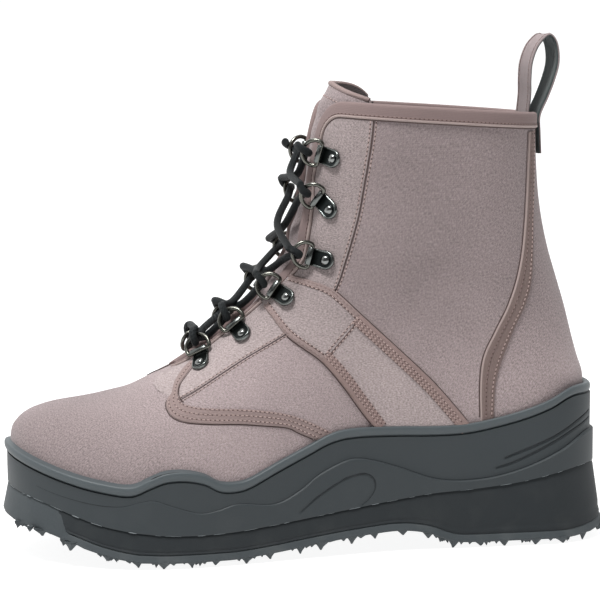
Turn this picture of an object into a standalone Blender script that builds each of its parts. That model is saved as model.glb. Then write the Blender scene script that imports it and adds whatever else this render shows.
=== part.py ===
"""A left wading boot: canvas upper on a rubber sidewall, black wedge and cleated tread.

Metres. +X runs forward to the toe, +Y to the outer side of the foot, +Z up. The origin is on
the floor under the middle of the heel.
"""

import math

import bmesh
import bpy
import numpy as np
from mathutils import Matrix, Vector

MM = 0.001

# Driving sizes
SOLE_LENGTH = 321 * MM
HEEL_SETBACK = 43 * MM
SOLE_WIDTH = 116 * MM
SEAT_HEIGHT = 42 * MM
SIDEWALL_RISE = 41 * MM
UPPER_HEIGHT = 188 * MM
SHAFT_WIDTH = 88 * MM

# Thicknesses and clearances
UPPER_WALL = 2.2 * MM
FIT_GAP = 0.3 * MM
CURVED_GAP = 0.6 * MM
INSOLE_THICKNESS = 4 * MM
TREAD_THICKNESS = 4 * MM
CLEAT_HEIGHT = 3 * MM
SIDEWALL_THICKNESS = 4.6 * MM
BEAD_HEIGHT = 4.5 * MM

STATIONS = 18

# Plan of the sole: share of its length, centre line, outer and inner half breadth, all three
# as shares of the width. The rounding of heel and toe is taken off afterwards.
PLAN = [
    (0.00, 0.000, 0.364, 0.354),
    (0.12, 0.000, 0.366, 0.354),
    (0.25, 0.000, 0.362, 0.338),
    (0.38, 0.000, 0.372, 0.315),
    (0.50, 0.000, 0.412, 0.340),
    (0.60, 0.000, 0.459, 0.392),
    (0.70, 0.000, 0.502, 0.445),
    (0.78, -0.014, 0.516, 0.458),
    (0.86, -0.035, 0.519, 0.452),
    (0.94, -0.060, 0.518, 0.448),
    (1.00, -0.073, 0.518, 0.440),
]
HEEL_ROUND = 0.135
TOE_ROUND = 0.25
HEEL_POWER = 2.2
TOE_POWER = 2.3

# Heights along the sole: share of its length, then tread underside, sidewall underside and
# foot bed as shares of SEAT_HEIGHT, then sidewall rim above the seat as a share of SIDEWALL_RISE.
SOLE_LINES = [
    (0.000, 0.150, 0.930, 1.000, 0.930),
    (0.050, 0.105, 0.960, 1.000, 0.985),
    (0.085, 0.075, 0.935, 1.000, 0.975),
    (0.125, 0.0714, 0.880, 1.000, 0.840),
    (0.180, 0.0714, 0.800, 1.000, 0.700),
    (0.245, 0.0714, 0.745, 1.000, 0.590),
    (0.285, 0.095, 0.725, 0.990, 0.560),
    (0.330, 0.215, 0.700, 0.960, 0.560),
    (0.380, 0.262, 0.650, 0.915, 0.575),
    (0.450, 0.225, 0.580, 0.840, 0.580),
    (0.490, 0.195, 0.540, 0.790, 0.530),
    (0.530, 0.160, 0.500, 0.740, 0.390),
    (0.580, 0.115, 0.455, 0.670, 0.210),
    (0.625, 0.082, 0.420, 0.620, 0.040),
    (0.650, 0.0714, 0.405, 0.600, 0.000),
    (0.675, 0.0714, 0.398, 0.590, 0.020),
    (0.700, 0.0714, 0.393, 0.583, 0.120),
    (0.730, 0.0714, 0.395, 0.583, 0.170),
    (0.760, 0.0714, 0.405, 0.590, 0.160),
    (0.785, 0.080, 0.425, 0.605, 0.090),
    (0.815, 0.100, 0.455, 0.640, 0.000),
    (0.860, 0.180, 0.525, 0.700, 0.040),
    (0.905, 0.300, 0.640, 0.790, 0.120),
    (0.950, 0.410, 0.760, 0.900, 0.230),
    (1.000, 0.480, 0.850, 1.000, 0.375),
]

# Ridge over toe, vamp, instep and shaft, then the back of heel and shaft: share of the sole's
# length, height above the seat as a share of UPPER_HEIGHT.
RIDGE = [
    (0.9875, 0.075), (0.986, 0.103), (0.980, 0.128), (0.9595, 0.1585),
    (0.922, 0.181), (0.866, 0.198), (0.804, 0.223), (0.757, 0.252),
    (0.7134, 0.292), (0.670, 0.343), (0.629, 0.402), (0.595, 0.463),
    (0.567, 0.527), (0.545, 0.601), (0.528, 0.692), (0.5125, 0.798),
    (0.4984, 0.904), (0.4844, 1.011), (0.4766, 1.085), (0.472, 1.140),
]
BACK = [
    (0.042, -0.043), (0.0405, 0.043), (0.0390, 0.122), (0.0370, 0.190),
    (0.0385, 0.240), (0.048, 0.288), (0.058, 0.348), (0.071, 0.431),
    (0.0857, 0.511), (0.1003, 0.590), (0.1115, 0.670), (0.119, 0.750),
    (0.123, 0.830), (0.1255, 0.910), (0.126, 0.968), (0.126, 1.140),
]

# Shaft half breadth by height above the seat: shares of UPPER_HEIGHT and SHAFT_WIDTH.
SHAFT = [
    (0.00, 0.435), (0.20, 0.440), (0.36, 0.437), (0.52, 0.446),
    (0.73, 0.472), (1.00, 0.500), (1.14, 0.510),
]

HEEL_X = -HEEL_SETBACK


def spline(rows, places):
    """A smooth curve through the rows, read at places counted in rows, one array per column."""
    p = np.array(rows, float)
    p = np.vstack([2 * p[0] - p[1], p, 2 * p[-1] - p[-2]])
    spans = len(rows) - 1
    out = []
    for u in places:
        i = min(int(u), spans - 1)
        t = u - i
        a, b, c, d = p[i], p[i + 1], p[i + 2], p[i + 3]
        out.append(0.5 * (2 * b + (c - a) * t + (2 * a - 5 * b + 4 * c - d) * t * t
                          + (3 * b - a - 3 * c + d) * t ** 3))
    return np.array(out).T


def dense(rows, count=600):
    return spline(rows, np.linspace(0, len(rows) - 1, count))


def at_share(share):
    """The X of a share of the sole's length."""
    return HEEL_X + np.asarray(share) * SOLE_LENGTH


def above_seat(share):
    """The Z of a share of the upper's height."""
    return SEAT_HEIGHT + np.asarray(share) * UPPER_HEIGHT


PLAN_CURVE = dense(PLAN)
LINE_CURVE = dense(SOLE_LINES)
RIDGE_CURVE = dense(RIDGE)
RIDGE_X = np.minimum.accumulate(at_share(RIDGE_CURVE[0]))
RIDGE_Z = above_seat(RIDGE_CURVE[1])
BACK_CURVE = dense(BACK)
BACK_X = at_share(BACK_CURVE[0])
BACK_Z = above_seat(BACK_CURVE[1])
SHAFT_CURVE = dense(SHAFT)
UPPER_TOE_X = RIDGE_X[0]
UPPER_HEEL_X = BACK_X.min()


def front_x(z):
    """X of the ridge at a height."""
    return np.interp(z, RIDGE_Z, RIDGE_X)


def back_x(z):
    """X of the back of the upper at a height."""
    return np.interp(z, BACK_Z, BACK_X)


def top_z(x):
    """Height of the ridge at an X."""
    return np.interp(x, RIDGE_X[::-1], RIDGE_Z[::-1])


def sole_line(column, x):
    """One of the SOLE_LINES columns, as a height, at an X."""
    share = (np.asarray(x) - HEEL_X) / SOLE_LENGTH
    value = np.interp(share, LINE_CURVE[0], LINE_CURVE[column])
    if column == 4:
        return SEAT_HEIGHT + value * SIDEWALL_RISE
    return value * SEAT_HEIGHT


def tread_line(x):
    return sole_line(1, x)


def wedge_line(x):
    return sole_line(2, x)


def bed_line(x):
    return sole_line(3, x)


def rim_line(x):
    return sole_line(4, x)


def rounding(distance, reach, power):
    """From 0 at an end to 1 at reach from it, along a superellipse."""
    t = 1 - np.clip(distance / reach, 0, 1)
    return (1 - t ** power) ** (1 / power)


def plan(share, inset, toe_only=False):
    """Centre line, outer and inner half breadth at a share of an outline's length."""
    axis, outer, inner = (np.interp(share, PLAN_CURVE[0], PLAN_CURVE[i]) * SOLE_WIDTH for i in (1, 2, 3))
    ends = rounding(1 - share, TOE_ROUND, TOE_POWER)
    if not toe_only:
        ends = ends * rounding(share, HEEL_ROUND, HEEL_POWER)
    return axis, (outer - inset) * ends, (inner - inset) * ends


def smooth(t):
    t = np.clip(t, 0, 1)
    return t * t * (3 - 2 * t)


def upper_y(side, x, z):
    """Signed Y of the upper's outside at a point of its side view; side is +1 outer, -1 inner."""
    share = np.clip((x - UPPER_HEEL_X) / (UPPER_TOE_X - UPPER_HEEL_X), 0, 1)
    axis, outer, inner = plan(share, SIDEWALL_THICKNESS, toe_only=True)
    foot = np.where(side > 0, outer, inner)
    level = (z - SEAT_HEIGHT) / UPPER_HEIGHT
    shaft = np.interp(level, SHAFT_CURVE[0], SHAFT_CURVE[1]) * SHAFT_WIDTH
    blend = smooth((level - 0.16) / 0.44)
    breadth = foot + (shaft - foot) * blend
    heel = rounding(x - back_x(z), (0.135 + 0.02 * blend) * SOLE_LENGTH, HEEL_POWER)
    bed = bed_line(x)
    rise = np.clip((z - bed) / np.maximum(top_z(x) - bed, 1e-6), 0, 1)
    over_foot = (1 - rise ** 2.3) ** (1 / 2.15)
    middle = 0.5 * (back_x(z) + front_x(z))
    ahead = np.clip((x - middle) / np.maximum(front_x(z) - middle, 1e-6), 0, 1)
    round_shaft = (1 - ahead ** 2.3) ** (1 / 2.15)
    top = over_foot + (round_shaft - over_foot) * blend
    return axis * (1 - blend) + side * breadth * heel * top


# Rings of the upper: 0 is the sidewall's rim, 1 the collar, and -1 the foot bed inside the
# sidewall. Round a ring, the angle is 0 at the back and pi at the ridge, positive outside.
COLLAR_BACK = 0.965
COLLAR_FRONT = 1.003
RIM_TUCK = 1.5 * MM
RIDGE_RUN = np.concatenate([[0], np.cumsum(np.hypot(np.diff(RIDGE_X), np.diff(RIDGE_Z)))])
RIM_RUN = np.interp(rim_line(UPPER_TOE_X) - RIM_TUCK, RIDGE_Z, RIDGE_RUN)
COLLAR_RUN = np.interp(above_seat(COLLAR_FRONT), RIDGE_Z, RIDGE_RUN)


def fan_place(v, s):
    """Side view place of a share s of the way from the back to the ridge, on the ring v."""
    run = RIM_RUN + v * (COLLAR_RUN - RIM_RUN)
    front = np.interp(run, RIDGE_RUN, RIDGE_X), np.interp(run, RIDGE_RUN, RIDGE_Z)
    low = rim_line(UPPER_HEEL_X) - RIM_TUCK
    high = low + v ** 1.35 * (above_seat(COLLAR_BACK) - low)
    back = back_x(high), high
    x = back[0] + s * (front[0] - back[0])
    level = back[1] + s * (front[1] - back[1])
    toe_rim = rim_line(UPPER_TOE_X) - RIM_TUCK
    wave = rim_line(UPPER_HEEL_X + s * (UPPER_TOE_X - UPPER_HEEL_X)) - RIM_TUCK - low - s * (toe_rim - low)
    return x, level + wave * (1 - smooth(v / 0.42))


def cup_place(level, s):
    """The same inside the sidewall: level 0 on the foot bed, 1 at the rim."""
    x = UPPER_HEEL_X + s * (UPPER_TOE_X - UPPER_HEEL_X)
    for _ in range(3):
        low = bed_line(x) + FIT_GAP
        z = low + level * (rim_line(x) - RIM_TUCK - low)
        x = back_x(z) + s * (front_x(z) - back_x(z))
    return x, z


def bare_skin(ring, angle):
    angle = (np.asarray(angle, float) + math.pi) % (2 * math.pi) - math.pi
    side = np.where(angle < 0, -1, 1)
    s = (1 - np.cos(angle)) / 2
    x, z = cup_place(1 + ring, s) if ring < 0 else fan_place(ring, s)
    return np.stack([x, upper_y(side, x, z), z], -1)


def skin_slopes(ring, angle):
    """How the skin moves with the angle and with the ring, each per unit."""
    turn, climb = 0.02, 0.004
    round_it = (bare_skin(ring, angle + turn) - bare_skin(ring, angle - turn)) / (2 * turn)
    up_it = (bare_skin(ring + climb, angle) - bare_skin(ring, angle)) / climb
    return round_it, up_it


def skin_normal(ring, angle):
    round_it, up_it = skin_slopes(ring, angle)
    normal = np.cross(up_it, round_it)
    return normal / np.linalg.norm(normal, axis=-1, keepdims=True)


def skin(ring, angle, offset=0.0):
    """Points at a distance outside the upper's outer face."""
    angle = np.asarray(angle, float)
    return bare_skin(ring, angle) + offset * skin_normal(ring, angle)


def angle_from_ridge(ring, side, distance):
    """The angle that lies a distance round the ring from the ridge."""
    angles = np.linspace(math.pi, 1.0, 300)
    points = bare_skin(ring, side * angles)
    run = np.concatenate([[0], np.cumsum(np.linalg.norm(np.diff(points, axis=0), axis=1))])
    return side * np.interp(distance, run, angles)


def moved(ring, angle, direction, distance):
    """The ring and angle a distance away along the skin, in a direction."""
    round_it, up_it = skin_slopes(ring, np.array(angle))
    slopes = np.stack([round_it, up_it], -1)
    turn, climb = np.linalg.lstsq(slopes, np.asarray(direction) * distance, rcond=None)[0]
    return ring + climb, angle + turn


# Half of the throat's opening, round each ring from the ridge
THROAT = [
    (0.375, 0.0), (0.385, 0.18), (0.405, 0.30), (0.44, 0.35), (0.51, 0.39),
    (0.60, 0.68), (0.69, 1.00), (0.76, 0.90), (0.85, 0.60), (0.92, 0.58), (1.02, 0.58),
]
THROAT_HALF = 18 * MM
THROAT_BASE = THROAT[0][0]
CORNER_RADIUS = 12 * MM


def throat_half(ring):
    """Distance from the ridge to the throat's edge, with the collar's rounded corner."""
    half = np.interp(ring, *np.array(THROAT).T) * THROAT_HALF
    below = (1 - ring) * (COLLAR_RUN - RIM_RUN)
    if below < CORNER_RADIUS:
        half += CORNER_RADIUS - math.sqrt(CORNER_RADIUS ** 2 - (CORNER_RADIUS - below) ** 2)
    return half


def edge_angle(ring, side):
    if ring <= THROAT_BASE:
        return side * math.pi
    return angle_from_ridge(ring, side, throat_half(ring))


# Modelling helpers
MATERIALS = {
    "canvas": ((0.42, 0.37, 0.37), 0.85, 0.0),
    "tape": ((0.32, 0.25, 0.25), 0.80, 0.0),
    "rubber": ((0.075, 0.085, 0.095), 0.60, 0.0),
    "foam": ((0.035, 0.045, 0.050), 0.75, 0.0),
    "tread": ((0.100, 0.110, 0.120), 0.70, 0.0),
    "lining": ((0.050, 0.050, 0.055), 0.90, 0.0),
    "steel": ((0.300, 0.310, 0.300), 0.30, 1.0),
    "cord": ((0.055, 0.065, 0.075), 0.80, 0.0),
}


def material(name):
    found = bpy.data.materials.get(name)
    if found:
        return found
    colour, roughness, metallic = MATERIALS[name]
    made = bpy.data.materials.new(name)
    made.use_nodes = True
    shader = made.node_tree.nodes["Principled BSDF"]
    shader.inputs["Base Color"].default_value = (*colour, 1)
    shader.inputs["Roughness"].default_value = roughness
    shader.inputs["Metallic"].default_value = metallic
    return made


def place(name, mesh, finish):
    """A named object with a finish, shaded smooth with its creases kept."""
    if not mesh.materials:
        mesh.materials.append(material(finish))
    mesh.shade_smooth()
    mesh.set_sharp_from_angle(angle=math.radians(40))
    made = bpy.data.objects.new(name, mesh)
    bpy.context.scene.collection.objects.link(made)
    return made


def finished_mesh(name, bm):
    mesh = bpy.data.meshes.new(name)
    bm.to_mesh(mesh)
    bm.free()
    return mesh


def thicken(made, thickness, outward):
    solid = made.modifiers.new("thickness", "SOLIDIFY")
    solid.thickness = thickness
    solid.offset = 1 if outward else -1
    solid.use_even_offset = True


def grid_sheet(name, rows, finish, thickness, outward, flip=False):
    """A surface through rows of points, made solid on one side of it."""
    bm = bmesh.new()
    verts = [[bm.verts.new(point) for point in row] for row in rows]
    for low, high in zip(verts, verts[1:]):
        for a, b, c, d in zip(low, low[1:], high[1:], high):
            bm.faces.new((b, a, d, c) if flip else (a, b, c, d))
    made = place(name, finished_mesh(name, bm), finish)
    thicken(made, thickness, outward)
    return made


def closed_loft(bm, loops, cap):
    """Closed loops joined in turn into one solid, the first and last closed by a cap."""
    verts = [[bm.verts.new(point) for point in loop] for loop in loops]
    for low, high in zip(verts, verts[1:]):
        count = len(low)
        for j in range(count):
            k = (j + 1) % count
            bm.faces.new((low[j], low[k], high[k], high[j]))
    cap(bm, verts[0], True)
    cap(bm, verts[-1], False)


def strip_cap(bm, loop, flip):
    """Fills an outline by strips across it, from its back to its front."""
    count = len(loop)
    half = count // 2
    for j in range(half):
        corners = [loop[j], loop[j + 1], loop[count - j - 1], loop[-j]]
        corners = [corner for i, corner in enumerate(corners) if corner not in corners[:i]]
        bm.faces.new(corners[::-1] if flip else corners)


def fan_cap(bm, loop, flip):
    bm.faces.new(loop[::-1] if flip else loop)


def turn_outward(bm):
    bmesh.ops.recalc_face_normals(bm, faces=bm.faces)


def joined(name, objects, finish):
    """One mesh from overlapping closed solids."""
    base, *others = objects
    for other in others:
        union = base.modifiers.new("join", "BOOLEAN")
        union.operation = "UNION"
        union.object = other
        other.hide_render = True
        other.display_type = "WIRE"
    bpy.context.view_layer.update()
    evaluated = base.evaluated_get(bpy.context.evaluated_depsgraph_get())
    mesh = bpy.data.meshes.new_from_object(evaluated)
    mesh.name = name
    for old in objects:
        bpy.data.objects.remove(old)
    if not mesh.materials:
        mesh.materials.append(material(finish))
    return mesh


def tube(points, radius, smoothness, cyclic=False):
    """A round bar along points, as a plain object."""
    curve = bpy.data.curves.new("bar", "CURVE")
    curve.dimensions = "3D"
    curve.bevel_depth = radius
    curve.bevel_resolution = smoothness
    curve.use_fill_caps = not cyclic
    spline = curve.splines.new("POLY")
    spline.points.add(len(points) - 1)
    for target, point in zip(spline.points, points):
        target.co = (*point, 1)
    spline.use_cyclic_u = cyclic
    made = bpy.data.objects.new("bar", curve)
    bpy.context.scene.collection.objects.link(made)
    bpy.context.view_layer.update()
    mesh = bpy.data.meshes.new_from_object(made.evaluated_get(bpy.context.evaluated_depsgraph_get()))
    bpy.data.objects.remove(made)
    solid = bpy.data.objects.new("bar", mesh)
    bpy.context.scene.collection.objects.link(solid)
    return solid


# Angles of the stations round an outline, the back first and then by the outer side
TURN = np.concatenate([np.linspace(0, math.pi, STATIONS + 1),
                       np.linspace(-math.pi, 0, STATIONS + 1)[1:-1]])


def sole_ring(inset, heel_in, toe_in, height):
    """An outline of the sole, drawn in from its largest by three distances."""
    s = (1 - np.cos(TURN)) / 2
    x = HEEL_X + heel_in + s * (SOLE_LENGTH - heel_in - toe_in)
    axis, outer, inner = plan(s, inset)
    y = axis + np.where(TURN < 0, -inner, outer)
    return np.stack([x, y, height(x)], -1)


# Drawn in from the largest outline, as shares of SIDEWALL_THICKNESS: at the sides, heel, toe
TREAD_EDGE = (0.00, 0.00, 0.00)
WEDGE_LOW = (0.25, 0.35, 0.20)
WEDGE_HIGH = (0.45, 1.35, 0.60)
SIDE_LOW = (0.35, 1.30, 0.55)
SIDE_FACE = (0.55, 1.68, 0.50)
GROOVE = (0.75, 1.90, 0.70)
BEAD = (0.40, 1.72, 0.22)
BEAD_TOP = (0.52, 1.95, 0.35)
RIM_CREST = (0.72, 2.16, 0.55)
GROOVE_HEIGHT = 1.0 * MM
STEP_DEPTH = 1.8 * MM
STEP_END = 0.86

# The step low on the sidewall: share of the sole's length, height as a share of SEAT_HEIGHT
STEP_LINE = [
    (0.00, 1.36), (0.055, 1.44), (0.105, 1.18), (0.176, 0.962), (0.243, 0.860), (0.311, 0.880),
    (0.377, 1.052), (0.411, 1.138), (0.444, 1.190), (0.470, 1.167), (0.511, 1.026), (0.545, 0.838),
    (0.586, 0.705), (0.645, 0.740), (0.676, 0.686), (0.707, 0.660), (0.748, 0.750), (0.779, 0.830),
    (0.801, 0.812), (0.832, 0.760), (0.880, 0.790), (0.940, 0.900), (1.00, 1.08),
]
STEP_CURVE = dense(STEP_LINE)


def drawn_in(row):
    return [share * SIDEWALL_THICKNESS for share in row]


def step_line(x):
    share = (x - HEEL_X) / SOLE_LENGTH
    return np.interp(share, STEP_CURVE[0], STEP_CURVE[1]) * SEAT_HEIGHT


def step_depth(x):
    """How far the sidewall stands out below the step, fading towards the toe."""
    share = np.clip((x - HEEL_X) / SOLE_LENGTH / STEP_END, 0, 1)
    return STEP_DEPTH * (1 - share) ** 0.7


def step_ring(above, stand_out):
    ring = sole_ring(*drawn_in(SIDE_FACE), step_line)
    ring[:, 2] += above
    out = np.zeros_like(ring)
    ahead = np.roll(ring, -1, axis=0) - np.roll(ring, 1, axis=0)
    out[:, 0], out[:, 1] = -ahead[:, 1], ahead[:, 0]
    out /= np.linalg.norm(out, axis=1, keepdims=True)
    return ring - out * step_depth(ring[:, :1]) * -stand_out


def make_sidewall():
    below_bead = BEAD_HEIGHT + GROOVE_HEIGHT
    inner = [skin(level, TURN, CURVED_GAP) for level in UPPER_RINGS[:3]]
    inner[0][:, 2] = bed_line(inner[0][:, 0])
    loops = [
        sole_ring(*drawn_in(SIDE_LOW), wedge_line),
        step_ring(-0.5 * MM, 1),
        step_ring(0.5 * MM, 0),
        sole_ring(*drawn_in(SIDE_FACE), lambda x: rim_line(x) - below_bead),
        sole_ring(*drawn_in(GROOVE), lambda x: rim_line(x) - below_bead + 0.5 * GROOVE_HEIGHT),
        sole_ring(*drawn_in(BEAD), lambda x: rim_line(x) - BEAD_HEIGHT),
        sole_ring(*drawn_in(BEAD_TOP), lambda x: rim_line(x) - 0.22 * BEAD_HEIGHT),
        sole_ring(*drawn_in(RIM_CREST), rim_line),
    ] + inner[::-1]
    bm = bmesh.new()
    closed_loft(bm, loops, strip_cap)
    turn_outward(bm)
    place("sidewall", finished_mesh("sidewall", bm), "rubber")


# Where the wedge stops and the tread turns up as a toe bumper
BUMPER_STATION = round(STATIONS * 0.80)
BUMPER_SLANT = 2.5 * MM


def make_wedge():
    """Foam wedge and heel between tread and sidewall, cut off square behind the bumper."""
    low = sole_ring(*drawn_in(WEDGE_LOW), lambda x: tread_line(x) + TREAD_THICKNESS + FIT_GAP)
    high = sole_ring(*drawn_in(WEDGE_HIGH), lambda x: wedge_line(x) - FIT_GAP)
    bm = bmesh.new()
    front = BUMPER_STATION
    keep = list(range(0, front + 1)) + list(range(2 * STATIONS - front, 2 * STATIONS))
    loops = []
    for ring, slant in ((low, 0.0), (high, BUMPER_SLANT)):
        ring = ring[keep]
        ring[front:front + 2, 0] += slant - FIT_GAP
        loops.append([bm.verts.new(point) for point in ring])
    count = len(keep)
    for j in range(count):
        k = (j + 1) % count
        bm.faces.new((loops[0][j], loops[0][k], loops[1][k], loops[1][j]))
    for loop in loops:
        bm.faces.new((loop[0], loop[1], loop[-1]))
        for j in range(1, front):
            bm.faces.new((loop[j], loop[j + 1], loop[count - j - 1], loop[count - j]))
    turn_outward(bm)
    place("wedge", finished_mesh("wedge", bm), "foam")


CLEAT_RADIUS = 4.2 * MM
CLEAT_TIP = 1.5 * MM
CLEAT_PITCH = 21 * MM
CLEAT_EDGE = 7.5 * MM
CLEAT_ROOT = 1.2 * MM
ARCH = (0.345, 0.585)
PAD_LENGTH = 18 * MM
PAD_WIDTH = 30 * MM
HEEL_PAD_X = 0.0
BALL_PAD_X = 0.726 * SOLE_LENGTH - HEEL_SETBACK


def add_cleat(bm, x, y, turn):
    """A five sided stud with a slanting, broken tip."""
    floor = max(float(tread_line(x)), CLEAT_HEIGHT)
    where = Matrix.Translation((x, y, floor + (CLEAT_ROOT - CLEAT_HEIGHT) / 2))
    bmesh.ops.create_cone(bm, cap_ends=True, segments=5, radius1=CLEAT_TIP, radius2=CLEAT_RADIUS,
                          depth=CLEAT_HEIGHT + CLEAT_ROOT, matrix=where @ Matrix.Rotation(turn, 4, "Z"))


def make_tread():
    """Grip sheet with its turned up toe bumper, studs and two flat resting pads."""
    edge = drawn_in(TREAD_EDGE)
    bottom = sole_ring(*edge, tread_line)
    top = sole_ring(*drawn_in(WEDGE_LOW), lambda x: tread_line(x) + TREAD_THICKNESS)
    bumper = sole_ring(*drawn_in(WEDGE_HIGH), lambda x: wedge_line(x) - FIT_GAP)
    front = BUMPER_STATION
    count = 2 * STATIONS
    bm = bmesh.new()
    low = [bm.verts.new(point) for point in bottom]
    flat = {j: bm.verts.new(top[j]) for j in range(count) if j <= front or j >= count - front}
    for j in (front, count - front):
        bumper[j, 0] += BUMPER_SLANT
    raised = {j: bm.verts.new(bumper[j]) for j in range(front, count - front + 1)}
    for j in range(count):
        k = (j + 1) % count
        if j in flat and k in flat:
            bm.faces.new((low[j], low[k], flat[k], flat[j]))
        elif j in flat:
            bm.faces.new((low[j], low[k], raised[k], raised[j], flat[j]))
        elif k in flat:
            bm.faces.new((low[j], low[k], flat[k], raised[k], raised[j]))
        else:
            bm.faces.new((low[j], low[k], raised[k], raised[j]))
    strip_cap(bm, low, True)
    for j in range(0, front):
        corners = [flat[j], flat[j + 1], flat[count - j - 1]]
        if j:
            corners.append(flat[count - j])
        bm.faces.new(corners)
    for j in range(front, STATIONS):
        corners = [raised[j], raised[j + 1], raised[count - j]]
        if j < STATIONS - 1:
            corners.insert(2, raised[count - j - 1])
        bm.faces.new(corners)
    bm.faces.new((flat[front], raised[front], raised[count - front], flat[count - front]))
    turn_outward(bm)
    bmesh.ops.triangulate(bm, faces=bm.faces)
    base = place("tread_base", finished_mesh("tread_base", bm), "tread")

    bm = bmesh.new()
    for x in (HEEL_PAD_X, BALL_PAD_X):
        root = tread_line(x) + CLEAT_ROOT
        where = Matrix.Translation((x, 0, root / 2)) @ Matrix.Diagonal((PAD_LENGTH, PAD_WIDTH, root, 1))
        bmesh.ops.create_cube(bm, size=1, matrix=where)
    rows = int((SOLE_LENGTH - 2 * CLEAT_EDGE) / CLEAT_PITCH)
    for i in range(rows + 1):
        share = (CLEAT_EDGE + i * (SOLE_LENGTH - 2 * CLEAT_EDGE) / rows) / SOLE_LENGTH
        x = HEEL_X + share * SOLE_LENGTH
        if ARCH[0] < share < ARCH[1]:
            continue
        axis, outer, inner = plan(share, CLEAT_EDGE)
        across = max(2, 1 + round((outer + inner) / (CLEAT_PITCH * 1.25)))
        for j in range(across):
            y = axis - inner + j * (outer + inner) / (across - 1)
            near_pad = min(abs(x - HEEL_PAD_X), abs(x - BALL_PAD_X)) < PAD_LENGTH / 2 + CLEAT_RADIUS
            if near_pad and abs(y) < PAD_WIDTH / 2 + CLEAT_RADIUS:
                continue
            add_cleat(bm, x, y, i * 1.1 + j * 0.7)
    studs = place("studs", finished_mesh("studs", bm), "tread")
    place("tread", joined("tread", [base, studs], "tread"), "tread")


def make_insole():
    inside = -(UPPER_WALL + CURVED_GAP)
    ring = skin(-1.0, TURN, inside)
    low, high = ring.copy(), ring.copy()
    low[:, 2] = bed_line(ring[:, 0]) + FIT_GAP
    high[:, 2] = low[:, 2] + INSOLE_THICKNESS
    bm = bmesh.new()
    closed_loft(bm, [low, high], strip_cap)
    turn_outward(bm)
    place("insole", finished_mesh("insole", bm), "lining")


RIM_RING = -0.004
UPPER_RINGS = [-1.0, -0.5, RIM_RING, 0.07, 0.15, 0.23, 0.31, THROAT_BASE, 0.385, 0.41, 0.46, 0.53,
               0.60, 0.68, 0.76, 0.80, 0.84, 0.91, 0.96, 0.985, 1.0]


def make_upper():
    """The whole canvas upper as one skin, closed over the toe and open down the throat."""
    bm = bmesh.new()
    rings = []
    for ring in UPPER_RINGS:
        sides = []
        back = None
        front = None
        for side in (1, -1):
            angles = np.linspace(0, edge_angle(ring, side), STATIONS + 1)
            points = skin(ring, angles)
            back = back or bm.verts.new(points[0])
            middle = [bm.verts.new(point) for point in points[1:-1]]
            if front is None or ring > THROAT_BASE:
                front = bm.verts.new(points[-1])
            sides.append([back] + middle + [front])
        rings.append(sides)
    for (low_out, low_in), (high_out, high_in) in zip(rings, rings[1:]):
        for j in range(STATIONS):
            bm.faces.new((low_out[j + 1], low_out[j], high_out[j], high_out[j + 1]))
            bm.faces.new((low_in[j], low_in[j + 1], high_in[j + 1], high_in[j]))
    made = place("upper", finished_mesh("upper", bm), "canvas")
    thicken(made, UPPER_WALL, outward=False)


# Overlays
OVERLAY_THICKNESS = 1.0 * MM
BINDING_WIDTH = 6.2 * MM
EYESTAY_BINDING_WIDTH = 3.4 * MM
EDGE_GAP = 0.9 * MM
LINING_GAP = 0.9 * MM
LOOP_WIDTH = 22 * MM
LOOP_THICKNESS = 1.6 * MM


def binding_section(width):
    """A folded tape round the wall's edge: distance in from the edge, and distance outside."""
    face = CURVED_GAP + OVERLAY_THICKNESS
    lining = -(UPPER_WALL + LINING_GAP)
    fold = -(EDGE_GAP + OVERLAY_THICKNESS)
    return [
        (width, face), (fold, face), (fold, lining - OVERLAY_THICKNESS), (width, lining - OVERLAY_THICKNESS),
        (width, lining), (-EDGE_GAP, lining), (-EDGE_GAP, CURVED_GAP), (width, CURVED_GAP),
    ]


def make_binding(name, side, path, width):
    """A folded tape along an edge given as rings and angles."""
    points = np.array([bare_skin(ring, angle) for ring, angle in path])
    ahead = np.gradient(points, axis=0)
    loops = []
    for (ring, angle), forward in zip(path, ahead):
        normal = skin_normal(ring, np.array(angle))
        inward = np.cross(normal, forward) * side
        inward /= np.linalg.norm(inward)
        loop = []
        for distance, offset in binding_section(width):
            near = moved(ring, angle, inward, distance)
            loop.append(skin(near[0], near[1], offset))
        loops.append(loop)
    bm = bmesh.new()
    closed_loft(bm, loops, fan_cap)
    turn_outward(bm)
    place(name, finished_mesh(name, bm), "tape")


STRAP_TOP = 0.668
STRAP_FOOT = 0.555
BINDING_FOOT = 0.41


def make_bindings(side, label):
    start = LOOP_WIDTH / 2 + 1.0 * MM
    angles = np.linspace(0, edge_angle(1.0, side), STATIONS + 1)
    widths = np.abs(bare_skin(1.0, angles)[:, 1])
    first = np.interp(start, widths[:STATIONS // 2], angles[:STATIONS // 2])
    path = [(1.0, first)] + [(1.0, angle) for angle in angles[widths.tolist().index(widths[widths > start][0]):]]
    rings = [ring for ring in reversed(UPPER_RINGS) if STRAP_TOP < ring < 1.0] + [STRAP_TOP]
    path += [(ring, edge_angle(ring, side)) for ring in rings]
    make_binding("collar_binding_" + label, side, path, BINDING_WIDTH)
    rings = [STRAP_FOOT] + [ring for ring in reversed(UPPER_RINGS) if BINDING_FOOT <= ring < STRAP_FOOT]
    path = [(ring, edge_angle(ring, side)) for ring in rings]
    make_binding("eyestay_binding_" + label, side, path, EYESTAY_BINDING_WIDTH)


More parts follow.
